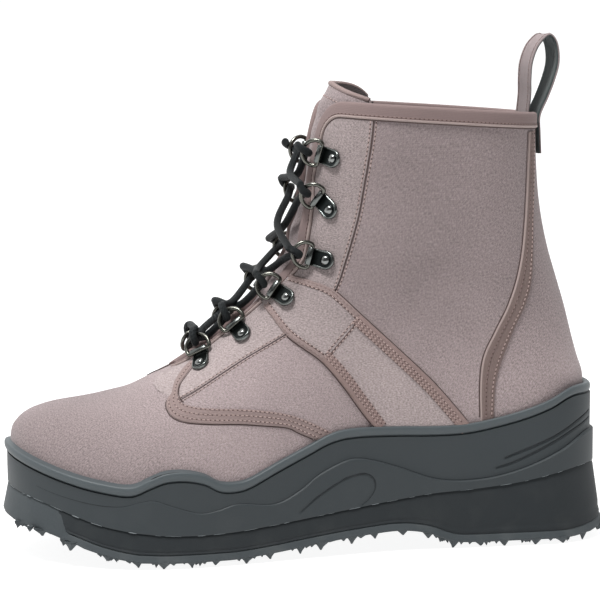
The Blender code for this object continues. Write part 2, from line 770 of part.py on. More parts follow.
# Edges of the overlays in the side view: share of the sole's length, height above the seat as
# a share of UPPER_HEIGHT. The last row of each lies at the rim, whatever its height.
STRAP_EDGES = (
    [(0.541, 0.535), (0.511, 0.521), (0.480, 0.498), (0.435, 0.426), (0.369, 0.322), (0.321, 0.244),
     (0.285, 0.175), (0.257, 0.118)],
    [(0.583, 0.447), (0.554, 0.377), (0.505, 0.314), (0.471, 0.247), (0.443, 0.181), (0.420, 0.129)],
)
VAMP_TAPE_EDGES = (
    [(0.708, 0.272), (0.713, 0.250), (0.719, 0.232), (0.727, 0.213), (0.728, 0.204), (0.716, 0.196),
     (0.683, 0.192), (0.641, 0.190), (0.600, 0.184), (0.562, 0.172), (0.530, 0.152), (0.495, 0.122)],
    [(0.718, 0.275), (0.729, 0.252), (0.737, 0.223), (0.750, 0.205), (0.747, 0.182), (0.729, 0.160),
     (0.685, 0.154), (0.640, 0.152), (0.593, 0.144), (0.561, 0.136), (0.541, 0.119), (0.517, 0.100)],
)
BACK_TAPE_EDGES = (
    [(0.142, 0.900), (0.144, 0.780), (0.148, 0.680), (0.150, 0.600), (0.154, 0.517), (0.165, 0.451),
     (0.186, 0.380), (0.205, 0.297), (0.215, 0.231), (0.218, 0.134)],
    [(0.156, 0.900), (0.160, 0.760), (0.165, 0.660), (0.171, 0.585), (0.181, 0.510), (0.194, 0.447),
     (0.215, 0.378), (0.234, 0.305), (0.239, 0.231), (0.238, 0.127)],
)
RIM_CLEARANCE = 0.8 * MM


def make_overlay(name, side, edges, columns, finish):
    """A tape between two edges drawn on the upper's side, its last row at the sidewall."""
    rows = []
    curves = [dense(edge, columns) for edge in edges]
    for j in range(columns):
        ends = [np.array([at_share(curve[0][j]), above_seat(curve[1][j])]) for curve in curves]
        row = []
        for share in (0.0, 0.5, 1.0):
            x, z = ends[0] + share * (ends[1] - ends[0])
            z = max(z, float(rim_line(x)) + RIM_CLEARANCE)
            if j == columns - 1:
                z = float(rim_line(x)) + RIM_CLEARANCE
            row.append(side_point(side, x, z, CURVED_GAP))
        rows.append(row)
    grid_sheet(name, rows, finish, OVERLAY_THICKNESS, outward=True, flip=side < 0)


def side_point(side, x, z, offset):
    """A point outside the upper from its side view place."""
    step = 0.5 * MM
    y = upper_y(side, x, z)
    slope_x = (upper_y(side, x + step, z) - upper_y(side, x - step, z)) / (2 * step)
    slope_z = (upper_y(side, x, z + step) - upper_y(side, x, z - step)) / (2 * step)
    normal = side * np.array([-slope_x, 1.0, -slope_z])
    normal /= np.linalg.norm(normal)
    return np.array([x, y, z]) + normal * offset


def make_overlays(side, label):
    make_overlay("ankle_strap_" + label, side, STRAP_EDGES, 16, "canvas")
    make_overlay("vamp_tape_" + label, side, VAMP_TAPE_EDGES, 16, "tape")
    make_overlay("back_tape_" + label, side, BACK_TAPE_EDGES, 12, "tape")


TONGUE_THICKNESS = 3 * MM
TONGUE_DEPTH = 5.1 * MM
TONGUE_START = 0.34
TONGUE_TOP = 1.055
TONGUE_HALF_LOW = 16 * MM
TONGUE_HALF_HIGH = 40 * MM
TONGUE_CORNER = 0.045


def make_tongue():
    """A wide padded tongue behind the throat, its top rounded down at both sides."""
    rows = []
    for share in np.linspace(0, 1, 11):
        half = TONGUE_HALF_LOW + (TONGUE_HALF_HIGH - TONGUE_HALF_LOW) * smooth(share * 1.6)
        row = []
        for across in np.linspace(-1, 1, 11):
            side = 1 if across >= 0 else -1
            top = TONGUE_TOP - TONGUE_CORNER * abs(across) ** 2.5
            ring = TONGUE_START + share * (top - TONGUE_START)
            angle = angle_from_ridge(ring, side, abs(across) * half)
            row.append(skin(ring, angle, -TONGUE_DEPTH))
        rows.append(row)
    grid_sheet("tongue", rows, "canvas", TONGUE_THICKNESS, outward=False)


# Pull loop's middle line: X from the collar's back as a share of the loop's depth, height above
# the collar as a share of its rise
LOOP_DEPTH = 15 * MM
LOOP_RISE = 40 * MM
LOOP_TAIL = 20 * MM
LOOP_LINE = [
    (0.24, 0.26), (0.24, 0.45), (0.20, 0.65), (0.02, 0.84), (-0.24, 0.96), (-0.46, 1.00),
    (-0.66, 0.92), (-0.75, 0.78), (-0.74, 0.62), (-0.58, 0.42), (-0.36, 0.22),
]


def make_pull_loop():
    """A ribbon from inside the collar, up and over, and down the back seam."""
    collar_z = float(above_seat(COLLAR_BACK))
    collar_x = float(back_x(collar_z))
    inside = collar_x + UPPER_WALL + LOOP_THICKNESS / 2 + 1.6 * MM
    outside = collar_x - LOOP_THICKNESS / 2 - CURVED_GAP
    line = [(inside, collar_z - LOOP_TAIL), (inside, collar_z - 0.4 * LOOP_TAIL), (inside, collar_z)]
    line += [(collar_x + dx * LOOP_DEPTH, collar_z + dz * LOOP_RISE) for dx, dz in LOOP_LINE]
    line += [(outside, collar_z), (outside, collar_z - 0.4 * LOOP_TAIL)]
    tail_z = collar_z - LOOP_TAIL
    line.append((float(back_x(tail_z)) - LOOP_THICKNESS / 2 - CURVED_GAP, tail_z))
    x, z = dense(line, 34)
    half = LOOP_WIDTH / 2
    rows = [[(a, -half, b), (a, half, b)] for a, b in zip(x, z)]
    made = grid_sheet("pull_loop", rows, "tape", LOOP_THICKNESS, outward=True)
    made.modifiers["thickness"].offset = 0


# Lace hardware, top pair first: ring of the bar's middle, its distance from the throat's edge,
# turn of the plate from the ring's line in degrees, and 1 where it sits on the ankle strap
EYELETS = [
    (0.897, 9.6, -12, 0),
    (0.806, 11.4, -40, 0),
    (0.685, 11.5, -16, 0),
    (0.602, 8.5, -27, 1),
    (0.508, 7.6, -32, 0),
    (0.422, 7.4, -50, 0),
]
PLATE_THICKNESS = 0.8 * MM
PLATE_HALF = 4.8 * MM
RIVET_REACH = 8 * MM
RIVET_RADIUS = 2.8 * MM
RIVET_HEIGHT = 1.5 * MM
WIRE_RADIUS = 1.1 * MM
CURL_GAP = 0.35 * MM
RING_HALF = 6.3 * MM
RING_DEPTH = 9 * MM
RING_TILT = math.radians(36)
BAR_HEIGHT = PLATE_THICKNESS + WIRE_RADIUS + CURL_GAP
LACE_RADIUS = 1.9 * MM
LACE_GAP = 0.55 * MM


def clip_mesh():
    """Plate with a rounded end, curled over the ring's bar, and its domed rivet."""
    curl_in = WIRE_RADIUS + CURL_GAP
    curl_out = curl_in + PLATE_THICKNESS
    end = RIVET_REACH + PLATE_HALF
    stations = []
    for degrees in (0, 35, 62):
        turn = math.radians(degrees)
        reach = RIVET_REACH + PLATE_HALF * math.cos(turn) if degrees else end
        stations.append((reach, max(PLATE_HALF * math.sin(turn), 0.18 * PLATE_HALF)))
    stations.append((RIVET_REACH - 1 * MM, PLATE_HALF))
    bm = bmesh.new()
    loops = []
    for reach, half in stations:
        loops.append([(reach, -half, 0), (reach, half, 0), (reach, half, PLATE_THICKNESS),
                      (reach, -half, PLATE_THICKNESS)])
    for degrees in (-90, -130, -175, -220, -265, -305):
        turn = math.radians(degrees)
        far = (curl_out * math.cos(turn), BAR_HEIGHT + curl_out * math.sin(turn))
        near = (curl_in * math.cos(turn), BAR_HEIGHT + curl_in * math.sin(turn))
        loops.append([(far[0], -PLATE_HALF, far[1]), (far[0], PLATE_HALF, far[1]),
                      (near[0], PLATE_HALF, near[1]), (near[0], -PLATE_HALF, near[1])])
    closed_loft(bm, loops, fan_cap)
    turn_outward(bm)
    plate = place("plate", finished_mesh("plate", bm), "steel")
    bm = bmesh.new()
    where = Matrix.Translation((RIVET_REACH, 0, PLATE_THICKNESS + RIVET_HEIGHT / 2 - 0.2 * MM))
    bmesh.ops.create_cone(bm, cap_ends=True, segments=9, radius1=RIVET_RADIUS, radius2=0.55 * RIVET_RADIUS,
                          depth=RIVET_HEIGHT + 0.4 * MM, matrix=where)
    rivet = place("rivet", finished_mesh("rivet", bm), "steel")
    return joined("clip", [plate, rivet], "steel")


def ring_mesh():
    """A wire ring: straight bar on Y, rounded front towards -X."""
    half, depth = RING_HALF, RING_DEPTH
    outline = [(0, -0.86), (0, 0.86), (0.12, 1.0), (0.52, 1.0), (0.80, 0.76), (1.0, 0.36),
               (1.0, -0.36), (0.80, -0.76), (0.52, -1.0), (0.12, -1.0)]
    points = [(-reach * depth, across * half, 0) for reach, across in outline]
    made = tube(points, WIRE_RADIUS, 1, cyclic=True)
    mesh = made.data
    mesh.name = "wire_ring"
    bpy.data.objects.remove(made)
    mesh.materials.append(material("steel"))
    return mesh


def eyelet_frame(row, side):
    """Matrix of an eyelet: X from bar to rivet, Y along the bar, Z out of the skin."""
    ring, behind, turn, on_strap = row
    angle = angle_from_ridge(ring, side, throat_half(ring) + behind * MM)
    normal = Vector(skin_normal(ring, np.array(angle)))
    round_it, up_it = skin_slopes(ring, np.array(angle))
    away = Vector(-side * round_it).normalized()
    away = Matrix.Rotation(math.radians(turn) * side, 3, normal) @ away
    away = (away - away.dot(normal) * normal).normalized()
    seat = CURVED_GAP + (OVERLAY_THICKNESS + CURVED_GAP if on_strap else 0.0)
    where = Vector(skin(ring, angle, seat))
    across = normal.cross(away)
    frame = Matrix((away, across, normal)).transposed().to_4x4()
    frame.translation = where
    return frame


def make_eyelets():
    clip = clip_mesh()
    wire = ring_mesh()
    for side, label in ((1, "lateral"), (-1, "medial")):
        for number, row in enumerate(EYELETS, 1):
            frame = eyelet_frame(row, side)
            plate = place("clip_%s_%d" % (label, number), clip, "steel")
            plate.matrix_world = frame
            hoop = place("ring_%s_%d" % (label, number), wire, "steel")
            hoop.matrix_world = frame @ Matrix.Translation((0, 0, BAR_HEIGHT)) @ Matrix.Rotation(
                RING_TILT, 4, "Y")


def hook(number, side, from_above=False):
    """Points of the lace round the middle of a ring's front wire, and over the throat's edge."""
    row = EYELETS[number]
    tilt = eyelet_frame(row, side) @ Matrix.Translation((0, 0, BAR_HEIGHT))
    tilt = tilt @ Matrix.Rotation(RING_TILT, 4, "Y")
    reach = WIRE_RADIUS + LACE_RADIUS + LACE_GAP
    points = []
    for step in range(HOOK_STEPS + 1):
        turn = HOOK_START + (HOOK_END - HOOK_START) * step / HOOK_STEPS
        drift = side * (step / HOOK_STEPS - 0.5) * HOOK_DRIFT
        points.append(tilt @ Vector((-RING_DEPTH + reach * math.cos(turn), drift, reach * math.sin(turn))))
    behind = row[1] * MM - RING_DEPTH * math.cos(RING_TILT)
    if behind > 1.5 * MM:
        ring = row[0] - 0.5 * HOOK_DRIFT / (COLLAR_RUN - RIM_RUN)
        edge = angle_from_ridge(ring, side, throat_half(ring) - 1.0 * MM)
        height = CURVED_GAP + OVERLAY_THICKNESS + LACE_RADIUS + 2 * LACE_GAP
        points.insert(0, Vector(skin(ring, edge, height)))
    return points[::-1] if from_above else points


HOOK_STEPS = 8
HOOK_START = RING_TILT - math.radians(90)
HOOK_END = RING_TILT + math.radians(128)
HOOK_DRIFT = 3.2 * MM
LACE_OVER = 5.8 * MM
LACE_UNDER = 3.0 * MM


def lace_half(side):
    """From the middle of the lowest bar, zigzag up to a top ring, with its sampling places."""
    lowest = len(EYELETS) - 1
    start = hook(lowest, side, True)
    other = hook(lowest, -side, True)
    points = [start[0] + (other[0] - start[0]) * 0.6] + start
    places = list(np.arange(0, len(points), 1.0))
    hand = side
    for number in range(lowest - 1, -1, -1):
        middle = 0.5 * (EYELETS[number + 1][0] + EYELETS[number][0])
        over = (number % 2 == 0) == (side > 0)
        points.append(Vector(skin(middle, np.array(math.pi), LACE_OVER if over else LACE_UNDER)))
        hand = -hand
        turn = hook(number, hand)
        count = len(points)
        places += [count - 1.5, count - 1, count - 0.5] + list(np.arange(count, count + len(turn), 1.0))
        points += turn
    return spline(points, places)


def make_lace():
    halves = [tube(lace_half(side).T, LACE_RADIUS, 1) for side in (1, -1)]
    place("lace", joined("lace", halves, "cord"), "cord")


def main():
    for old in list(bpy.data.objects):
        bpy.data.objects.remove(old)
    make_tread()
    make_wedge()
    make_sidewall()
    make_insole()
    make_upper()
    make_tongue()
    for side, label in ((1, "lateral"), (-1, "medial")):
        make_bindings(side, label)
        make_overlays(side, label)
    make_pull_loop()
    make_eyelets()
    make_lace()


main()
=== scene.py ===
"""Looks of a left wading boot: woven canvas, bound edges, stitching, rubber sole and gunmetal rings.

Metres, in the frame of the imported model: +X to the toe, +Y to the outer side, +Z up.
"""

import math

import bmesh
import bpy
import numpy as np
from mathutils import Matrix, Vector


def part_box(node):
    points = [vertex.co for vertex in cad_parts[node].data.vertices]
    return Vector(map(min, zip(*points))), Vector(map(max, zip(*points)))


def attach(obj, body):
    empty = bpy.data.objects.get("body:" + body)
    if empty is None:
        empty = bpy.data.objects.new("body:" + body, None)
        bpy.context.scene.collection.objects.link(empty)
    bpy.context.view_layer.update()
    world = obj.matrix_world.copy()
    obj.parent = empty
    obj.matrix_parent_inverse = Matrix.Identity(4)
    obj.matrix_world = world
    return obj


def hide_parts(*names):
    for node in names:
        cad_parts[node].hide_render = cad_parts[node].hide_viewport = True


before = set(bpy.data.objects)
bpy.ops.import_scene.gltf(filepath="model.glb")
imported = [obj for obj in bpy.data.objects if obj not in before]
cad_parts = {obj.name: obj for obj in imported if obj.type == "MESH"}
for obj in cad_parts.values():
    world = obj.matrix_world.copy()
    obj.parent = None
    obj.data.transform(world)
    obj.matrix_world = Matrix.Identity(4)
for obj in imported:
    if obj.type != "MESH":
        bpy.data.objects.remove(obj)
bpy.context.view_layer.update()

MM = 0.001
RANDOM = np.random.default_rng(7)
SIDE_NAMES = {1: "lateral", -1: "medial"}
UP = np.array([0, 0, 1.0])

# Sizes, the same as the solids have
HEEL_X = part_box("tread")[0].x
SOLE_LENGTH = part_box("tread")[1].x - HEEL_X
SOLE_WIDTH = 116 * MM
SEAT_HEIGHT = 42 * MM
SIDEWALL_RISE = 41 * MM
UPPER_HEIGHT = 188 * MM
SHAFT_WIDTH = 88 * MM
UPPER_WALL = 2.2 * MM
FIT_GAP = 0.3 * MM
CURVED_GAP = 0.6 * MM
TREAD_THICKNESS = 4 * MM
SIDEWALL_THICKNESS = 4.6 * MM
BEAD_HEIGHT = 4.5 * MM

# Plan of the sole: share of its length, centre line, outer and inner half breadth, all three
# as shares of the width
PLAN = [
    (0.0, 0.0, 0.364, 0.354), (0.12, 0.0, 0.366, 0.354), (0.25, 0.0, 0.362, 0.338),
    (0.38, 0.0, 0.372, 0.315), (0.5, 0.0, 0.412, 0.34), (0.6, 0.0, 0.459, 0.392),
    (0.7, 0.0, 0.502, 0.445), (0.78, -0.014, 0.516, 0.458), (0.86, -0.035, 0.519, 0.452),
    (0.94, -0.06, 0.518, 0.448), (1.0, -0.073, 0.518, 0.44),
]
HEEL_ROUND, HEEL_POWER = 0.135, 2.2
TOE_ROUND, TOE_POWER = 0.25, 2.3

# Heights along the sole: share of its length, then tread underside, sidewall underside and
# foot bed as shares of SEAT_HEIGHT, then sidewall rim above the seat as a share of SIDEWALL_RISE
SOLE_LINES = [
    (0.0, 0.15, 0.93, 1.0, 0.93), (0.05, 0.105, 0.96, 1.0, 0.985), (0.085, 0.075, 0.935, 1.0, 0.975),
    (0.125, 0.0714, 0.88, 1.0, 0.84), (0.18, 0.0714, 0.8, 1.0, 0.7), (0.245, 0.0714, 0.745, 1.0, 0.59),
    (0.285, 0.095, 0.725, 0.99, 0.56), (0.33, 0.215, 0.7, 0.96, 0.56),
    (0.38, 0.262, 0.65, 0.915, 0.575), (0.45, 0.225, 0.58, 0.84, 0.58),
    (0.49, 0.195, 0.54, 0.79, 0.53), (0.53, 0.16, 0.5, 0.74, 0.39), (0.58, 0.115, 0.455, 0.67, 0.21),
    (0.625, 0.082, 0.42, 0.62, 0.04), (0.65, 0.0714, 0.405, 0.6, 0.0),
    (0.675, 0.0714, 0.398, 0.59, 0.02), (0.7, 0.0714, 0.393, 0.583, 0.12),
    (0.73, 0.0714, 0.395, 0.583, 0.17), (0.76, 0.0714, 0.405, 0.59, 0.16),
    (0.785, 0.08, 0.425, 0.605, 0.09), (0.815, 0.1, 0.455, 0.64, 0.0), (0.86, 0.18, 0.525, 0.7, 0.04),
    (0.905, 0.3, 0.64, 0.79, 0.12), (0.95, 0.41, 0.76, 0.9, 0.23), (1.0, 0.48, 0.85, 1.0, 0.375),
]

# Ridge over toe, vamp, instep and shaft, then the back: shares of SOLE_LENGTH and UPPER_HEIGHT
RIDGE = [
    (0.9875, 0.075), (0.986, 0.103), (0.98, 0.128), (0.9595, 0.1585), (0.922, 0.181), (0.866, 0.198),
    (0.804, 0.223), (0.757, 0.252), (0.7134, 0.292), (0.67, 0.343), (0.629, 0.402), (0.595, 0.463),
    (0.567, 0.527), (0.545, 0.601), (0.528, 0.692), (0.5125, 0.798), (0.4984, 0.904), (0.4844, 1.011),
    (0.4766, 1.085), (0.472, 1.14),
]
BACK = [
    (0.042, -0.043), (0.0405, 0.043), (0.039, 0.122), (0.037, 0.19), (0.0385, 0.24), (0.048, 0.288),
    (0.058, 0.348), (0.071, 0.431), (0.0857, 0.511), (0.1003, 0.59), (0.1115, 0.67), (0.119, 0.75),
    (0.123, 0.83), (0.1255, 0.91), (0.126, 0.968), (0.126, 1.14),
]
# Half breadth of the shaft: height as a share of UPPER_HEIGHT, share of SHAFT_WIDTH
SHAFT = [
    (0.0, 0.435), (0.2, 0.44), (0.36, 0.437), (0.52, 0.446), (0.73, 0.472), (1.0, 0.5), (1.14, 0.51),
]


def spline(rows, places):
    """A smooth curve through the rows, read at places counted in rows, one array per column."""
    p = np.array(rows, float)
    p = np.vstack([2 * p[0] - p[1], p, 2 * p[-1] - p[-2]])
    places = np.asarray(places, float)
    i = np.minimum(places.astype(int), len(rows) - 2)
    t = (places - i)[:, None]
    a, b, c, d = (p[i + step] for step in range(4))
    return (0.5 * (2 * b + (c - a) * t + (2 * a - 5 * b + 4 * c - d) * t * t
                   + (3 * b - a - 3 * c + d) * t ** 3)).T


def dense(rows, count=600):
    return spline(rows, np.linspace(0, len(rows) - 1, count))


def at_share(share):
    return HEEL_X + np.asarray(share) * SOLE_LENGTH


def above_seat(share):
    return SEAT_HEIGHT + np.asarray(share) * UPPER_HEIGHT


def side_place(share, level):
    """Side view places in metres, from shares of SOLE_LENGTH and UPPER_HEIGHT."""
    return np.stack([at_share(share), above_seat(level)], -1)


PLAN_CURVE, LINE_CURVE, SHAFT_CURVE = dense(PLAN), dense(SOLE_LINES), dense(SHAFT)
RIDGE_X, RIDGE_Z = side_place(*dense(RIDGE)).T
RIDGE_X = np.minimum.accumulate(RIDGE_X)
BACK_X, BACK_Z = side_place(*dense(BACK)).T
UPPER_TOE_X = RIDGE_X[0]
UPPER_HEEL_X = BACK_X.min()


def front_x(z):
    return np.interp(z, RIDGE_Z, RIDGE_X)


def back_x(z):
    return np.interp(z, BACK_Z, BACK_X)


def top_z(x):
    return np.interp(x, RIDGE_X[::-1], RIDGE_Z[::-1])


def sole_line(column):
    """The height at an X, by one of the columns of SOLE_LINES."""
    base, rise = (SEAT_HEIGHT, SIDEWALL_RISE) if column == 4 else (0.0, SEAT_HEIGHT)
    return lambda x: base + rise * np.interp((np.asarray(x) - HEEL_X) / SOLE_LENGTH,
                                             LINE_CURVE[0], LINE_CURVE[column])


tread_line, wedge_line, bed_line, rim_line = (sole_line(column) for column in (1, 2, 3, 4))


def rounding(distance, reach, power):
    t = 1 - np.clip(distance / reach, 0, 1)
    return (1 - t ** power) ** (1 / power)


def plan(share, inset, toe_only=False):
    """Centre line, outer and inner half breadth at a share of an outline's length."""
    axis, outer, inner = (np.interp(share, PLAN_CURVE[0], column) * SOLE_WIDTH for column in PLAN_CURVE[1:])
    ends = rounding(1 - share, TOE_ROUND, TOE_POWER)
    if not toe_only:
        ends = ends * rounding(share, HEEL_ROUND, HEEL_POWER)
    return axis, (outer - inset) * ends, (inner - inset) * ends


def smooth(t):
    t = np.clip(t, 0, 1)
    return t * t * (3 - 2 * t)


DOME_RISE, DOME_FALL = 2.3, 2.15
# Where the foot's breadth begins to turn into the shaft's, and over how much of UPPER_HEIGHT
SHAFT_BEGINS, SHAFT_BLEND = 0.16, 0.44


def domed(share):
    """Breadth of a section that closes over its top, at a share of its height."""
    return (1 - share ** DOME_RISE) ** (1 / DOME_FALL)


def upper_y(side, x, z):
    """Signed Y of the upper's outside at a point of its side view; side is +1 outer, -1 inner."""
    share = np.clip((x - UPPER_HEEL_X) / (UPPER_TOE_X - UPPER_HEEL_X), 0, 1)
    axis, outer, inner = plan(share, SIDEWALL_THICKNESS, toe_only=True)
    foot = np.where(side > 0, outer, inner)
    level = (z - SEAT_HEIGHT) / UPPER_HEIGHT
    shaft = np.interp(level, SHAFT_CURVE[0], SHAFT_CURVE[1]) * SHAFT_WIDTH
    blend = smooth((level - SHAFT_BEGINS) / SHAFT_BLEND)
    heel = rounding(x - back_x(z), (HEEL_ROUND + 0.02 * blend) * SOLE_LENGTH, HEEL_POWER)
    bed = bed_line(x)
    over_foot = domed(np.clip((z - bed) / np.maximum(top_z(x) - bed, 1e-6), 0, 1))
    middle = 0.5 * (back_x(z) + front_x(z))
    round_shaft = domed(np.clip((x - middle) / np.maximum(front_x(z) - middle, 1e-6), 0, 1))
    top = over_foot + (round_shaft - over_foot) * blend
    return axis * (1 - blend) + side * (foot + (shaft - foot) * blend) * heel * top


# Rings of the upper: 0 is the sidewall's rim, 1 the collar, -1 the foot bed. Round a ring the
# angle is 0 at the back and pi at the ridge, positive outside.
COLLAR_BACK, COLLAR_FRONT = 0.965, 1.003
RIM_TUCK = 1.5 * MM
BACK_POWER = 1.35
WAVE_TOP = 0.42
RIDGE_RUN = np.concatenate([[0], np.cumsum(np.hypot(np.diff(RIDGE_X), np.diff(RIDGE_Z)))])
RIM_RUN = np.interp(rim_line(UPPER_TOE_X) - RIM_TUCK, RIDGE_Z, RIDGE_RUN)
COLLAR_RUN = np.interp(above_seat(COLLAR_FRONT), RIDGE_Z, RIDGE_RUN)


def fan_place(v, s):
    """Side view place of a share s of the way from the back to the ridge, on the ring v."""
    run = RIM_RUN + v * (COLLAR_RUN - RIM_RUN)
    front = np.interp(run, RIDGE_RUN, RIDGE_X), np.interp(run, RIDGE_RUN, RIDGE_Z)
    low, toe_rim = (rim_line(x) - RIM_TUCK for x in (UPPER_HEEL_X, UPPER_TOE_X))
    high = low + np.maximum(v, 0) ** BACK_POWER * (above_seat(COLLAR_BACK) - low)
    x, level = (a + s * (b - a) for a, b in zip((back_x(high), high), front))
    rim = rim_line(UPPER_HEEL_X + s * (UPPER_TOE_X - UPPER_HEEL_X))
    # the rim's wave dies out up the rings, up to WAVE_TOP
    wave = rim - RIM_TUCK - low - s * (toe_rim - low)
    return x, level + wave * (1 - smooth(v / WAVE_TOP))


def cup_place(level, s):
    """The same inside the sidewall: level 0 on the foot bed, 1 at the rim."""
    x = UPPER_HEEL_X + s * (UPPER_TOE_X - UPPER_HEEL_X)
    for _ in range(3):
        low = bed_line(x) + FIT_GAP
        z = low + level * (rim_line(x) - RIM_TUCK - low)
        x = back_x(z) + s * (front_x(z) - back_x(z))
    return x, z


def half_turn(angle):
    """An angle brought between -pi and pi."""
    return (angle + math.pi) % (2 * math.pi) - math.pi


def paired(ring, angle):
    return np.broadcast_arrays(np.asarray(ring, float), np.asarray(angle, float))


def bare_skin(ring, angle):
    """Points of the upper's outer face without its creases."""
    ring, angle = paired(ring, angle)
    angle = half_turn(angle)
    s = (1 - np.cos(angle)) / 2
    fan = fan_place(np.maximum(ring, 0), s)
    cup = cup_place(1 + np.minimum(ring, 0), s)
    x, z = (np.where(ring < 0, a, b) for a, b in zip(cup, fan))
    return np.stack([x, upper_y(np.where(angle < 0, -1, 1), x, z), z], -1)


def skin_slopes(ring, angle):
    """How the skin moves with the angle and with the ring, each per unit."""
    turn, climb = 0.02, 0.004
    round_it = (bare_skin(ring, angle + turn) - bare_skin(ring, angle - turn)) / (2 * turn)
    return round_it, (bare_skin(ring + climb, angle) - bare_skin(ring, angle)) / climb


def unit(v):
    return v / np.maximum(np.linalg.norm(v, axis=-1, keepdims=True), 1e-12)


def run_along(points):
    """Distance along a line of points, from its start."""
    return np.concatenate([[0], np.cumsum(np.linalg.norm(np.diff(points, axis=0), axis=1))])


def run_lengths(points, axis):
    """Distance along an axis of a grid of points, from its start."""
    run = np.cumsum(np.linalg.norm(np.diff(points, axis=axis), axis=-1), axis=axis)
    pad = [(0, 0), (0, 0)]
    pad[axis] = (1, 0)
    return np.pad(run, pad)


UV_RINGS = np.linspace(-1, 1.06, 130)
UV_ANGLES = np.linspace(-math.pi, math.pi, 241)


def skin_lengths():
    """Lengths over the skin at UV_RINGS and UV_ANGLES: round from the back, and up from the rim."""
    points = bare_skin(UV_RINGS[:, None], UV_ANGLES)
    round_it = run_lengths(points, 1)
    back = len(UV_ANGLES) // 2
    return round_it - round_it[:, back:back + 1], run_lengths(points, 0)


def between_rows(table, ring, angle):
    """A table over UV_RINGS and UV_ANGLES read between its rows and columns."""
    r, a = (np.clip((value - line[0]) / (line[1] - line[0]), 0, len(line) - 1.001)
            for value, line in ((ring, UV_RINGS), (angle, UV_ANGLES)))
    i, j = r.astype(int), a.astype(int)
    r, a = r - i, a - j
    low, high = (table[k, j] * (1 - a) + table[k, j + 1] * a for k in (i, i + 1))
    return low * (1 - r) + high * r


def skin_normal(ring, angle):
    round_it, up_it = skin_slopes(*paired(ring, angle))
    return unit(np.cross(up_it, round_it))


# Creases of the worn canvas, in the side view: both ends of each (share of SOLE_LENGTH, share of
# UPPER_HEIGHT), half width in mm, depth in mm (below 0 for a ridge) and side, 0 for both
CREASES = [
    ((0.8, 0.24), (0.735, 0.1), 5.0, 0.75, 0), ((0.765, 0.27), (0.69, 0.15), 5.5, -0.45, 0),
    ((0.85, 0.22), (0.8, 0.09), 6.0, 0.4, 0), ((0.88, 0.21), (0.9, 0.11), 5.0, -0.3, 1),
    ((0.56, 0.61), (0.47, 0.545), 4.5, 0.6, 0), ((0.548, 0.68), (0.44, 0.64), 5.0, -0.5, 0),
    ((0.525, 0.76), (0.43, 0.735), 5.0, 0.45, 0), ((0.33, 0.56), (0.18, 0.48), 6.5, 0.7, 1),
    ((0.36, 0.47), (0.2, 0.39), 6.0, -0.45, 1), ((0.38, 0.64), (0.17, 0.6), 7.0, 0.5, -1),
    ((0.38, 0.53), (0.2, 0.46), 7.0, -0.5, -1), ((0.3, 0.86), (0.34, 0.62), 8.0, 0.45, 1),
    ((0.24, 0.9), (0.26, 0.66), 7.0, -0.4, -1), ((0.13, 0.43), (0.09, 0.3), 6.0, 0.4, 0),
    ((0.64, 0.29), (0.56, 0.2), 6.0, 0.4, 0),
]


def relief(points):
    """Height of the creases at points of the skin."""
    height = np.zeros(points.shape[:-1])
    for start, end, width, depth, side in CREASES:
        a = side_place(*start)
        ahead = side_place(*end) - a
        length = np.linalg.norm(ahead)
        ahead /= length
        off = points[..., ::2] - a
        along = off @ ahead
        across = off @ np.array([-ahead[1], ahead[0]])
        bow = 0.10 * length * (2 * along / length - 1) ** 2
        ends = smooth((along + 0.3 * length) / (0.5 * length))
        ends = ends * smooth((1.3 * length - along) / (0.5 * length))
        shape = np.exp(-0.5 * ((across - bow) / (width * MM)) ** 2) * ends
        if side:
            shape = shape * smooth(0.5 + side * points[..., 1] / (16 * MM))
        height -= depth * MM * shape
    return height


def skin(ring, angle, offset=0.0):
    """Points at a distance outside the upper's creased outer face."""
    bare = bare_skin(ring, angle)
    return bare + (np.asarray(offset) + relief(bare))[..., None] * skin_normal(ring, angle)


def angle_from_ridge(ring, side, distance):
    """The angle that lies a distance round the ring from the ridge."""
    angles = np.linspace(math.pi, 1.0, 300)
    return side * np.interp(distance, run_along(bare_skin(ring, side * angles)), angles)


def moved(ring, angle, direction, distance):
    """The rings and angles a distance away along the skin, in a direction."""
    round_it, up_it = skin_slopes(ring, angle)
    step = direction * distance
    aa, ab, bb = (round_it ** 2).sum(-1), (round_it * up_it).sum(-1), (up_it ** 2).sum(-1)
    ta, tb = (round_it * step).sum(-1), (up_it * step).sum(-1)
    det = aa * bb - ab * ab
    return ring + (aa * tb - ab * ta) / det, angle + (bb * ta - ab * tb) / det


# Throat: ring, and half of the opening round it from the ridge as a share of THROAT_HALF
THROAT = [
    (0.375, 0.0), (0.385, 0.18), (0.405, 0.3), (0.44, 0.35), (0.51, 0.39), (0.6, 0.68), (0.69, 1.0),
    (0.76, 0.9), (0.85, 0.6), (0.92, 0.58), (1.02, 0.58),
]
THROAT_HALF = 18 * MM
THROAT_BASE = THROAT[0][0]
CORNER_RADIUS = 16.5 * MM


def throat_half(ring):
    """Distance from the ridge to the throat's edge, with the collar's rounded corner."""
    half = np.interp(ring, *np.array(THROAT).T) * THROAT_HALF
    below = (1 - ring) * (COLLAR_RUN - RIM_RUN)
    if below < CORNER_RADIUS:
        half += CORNER_RADIUS - math.sqrt(CORNER_RADIUS ** 2 - (CORNER_RADIUS - below) ** 2)
    return half


def edge_angle(ring, side):
    if ring <= THROAT_BASE:
        return side * math.pi
    return angle_from_ridge(ring, side, throat_half(ring))


def edge_angles(rings, side):
    return np.array([edge_angle(ring, side) for ring in rings])


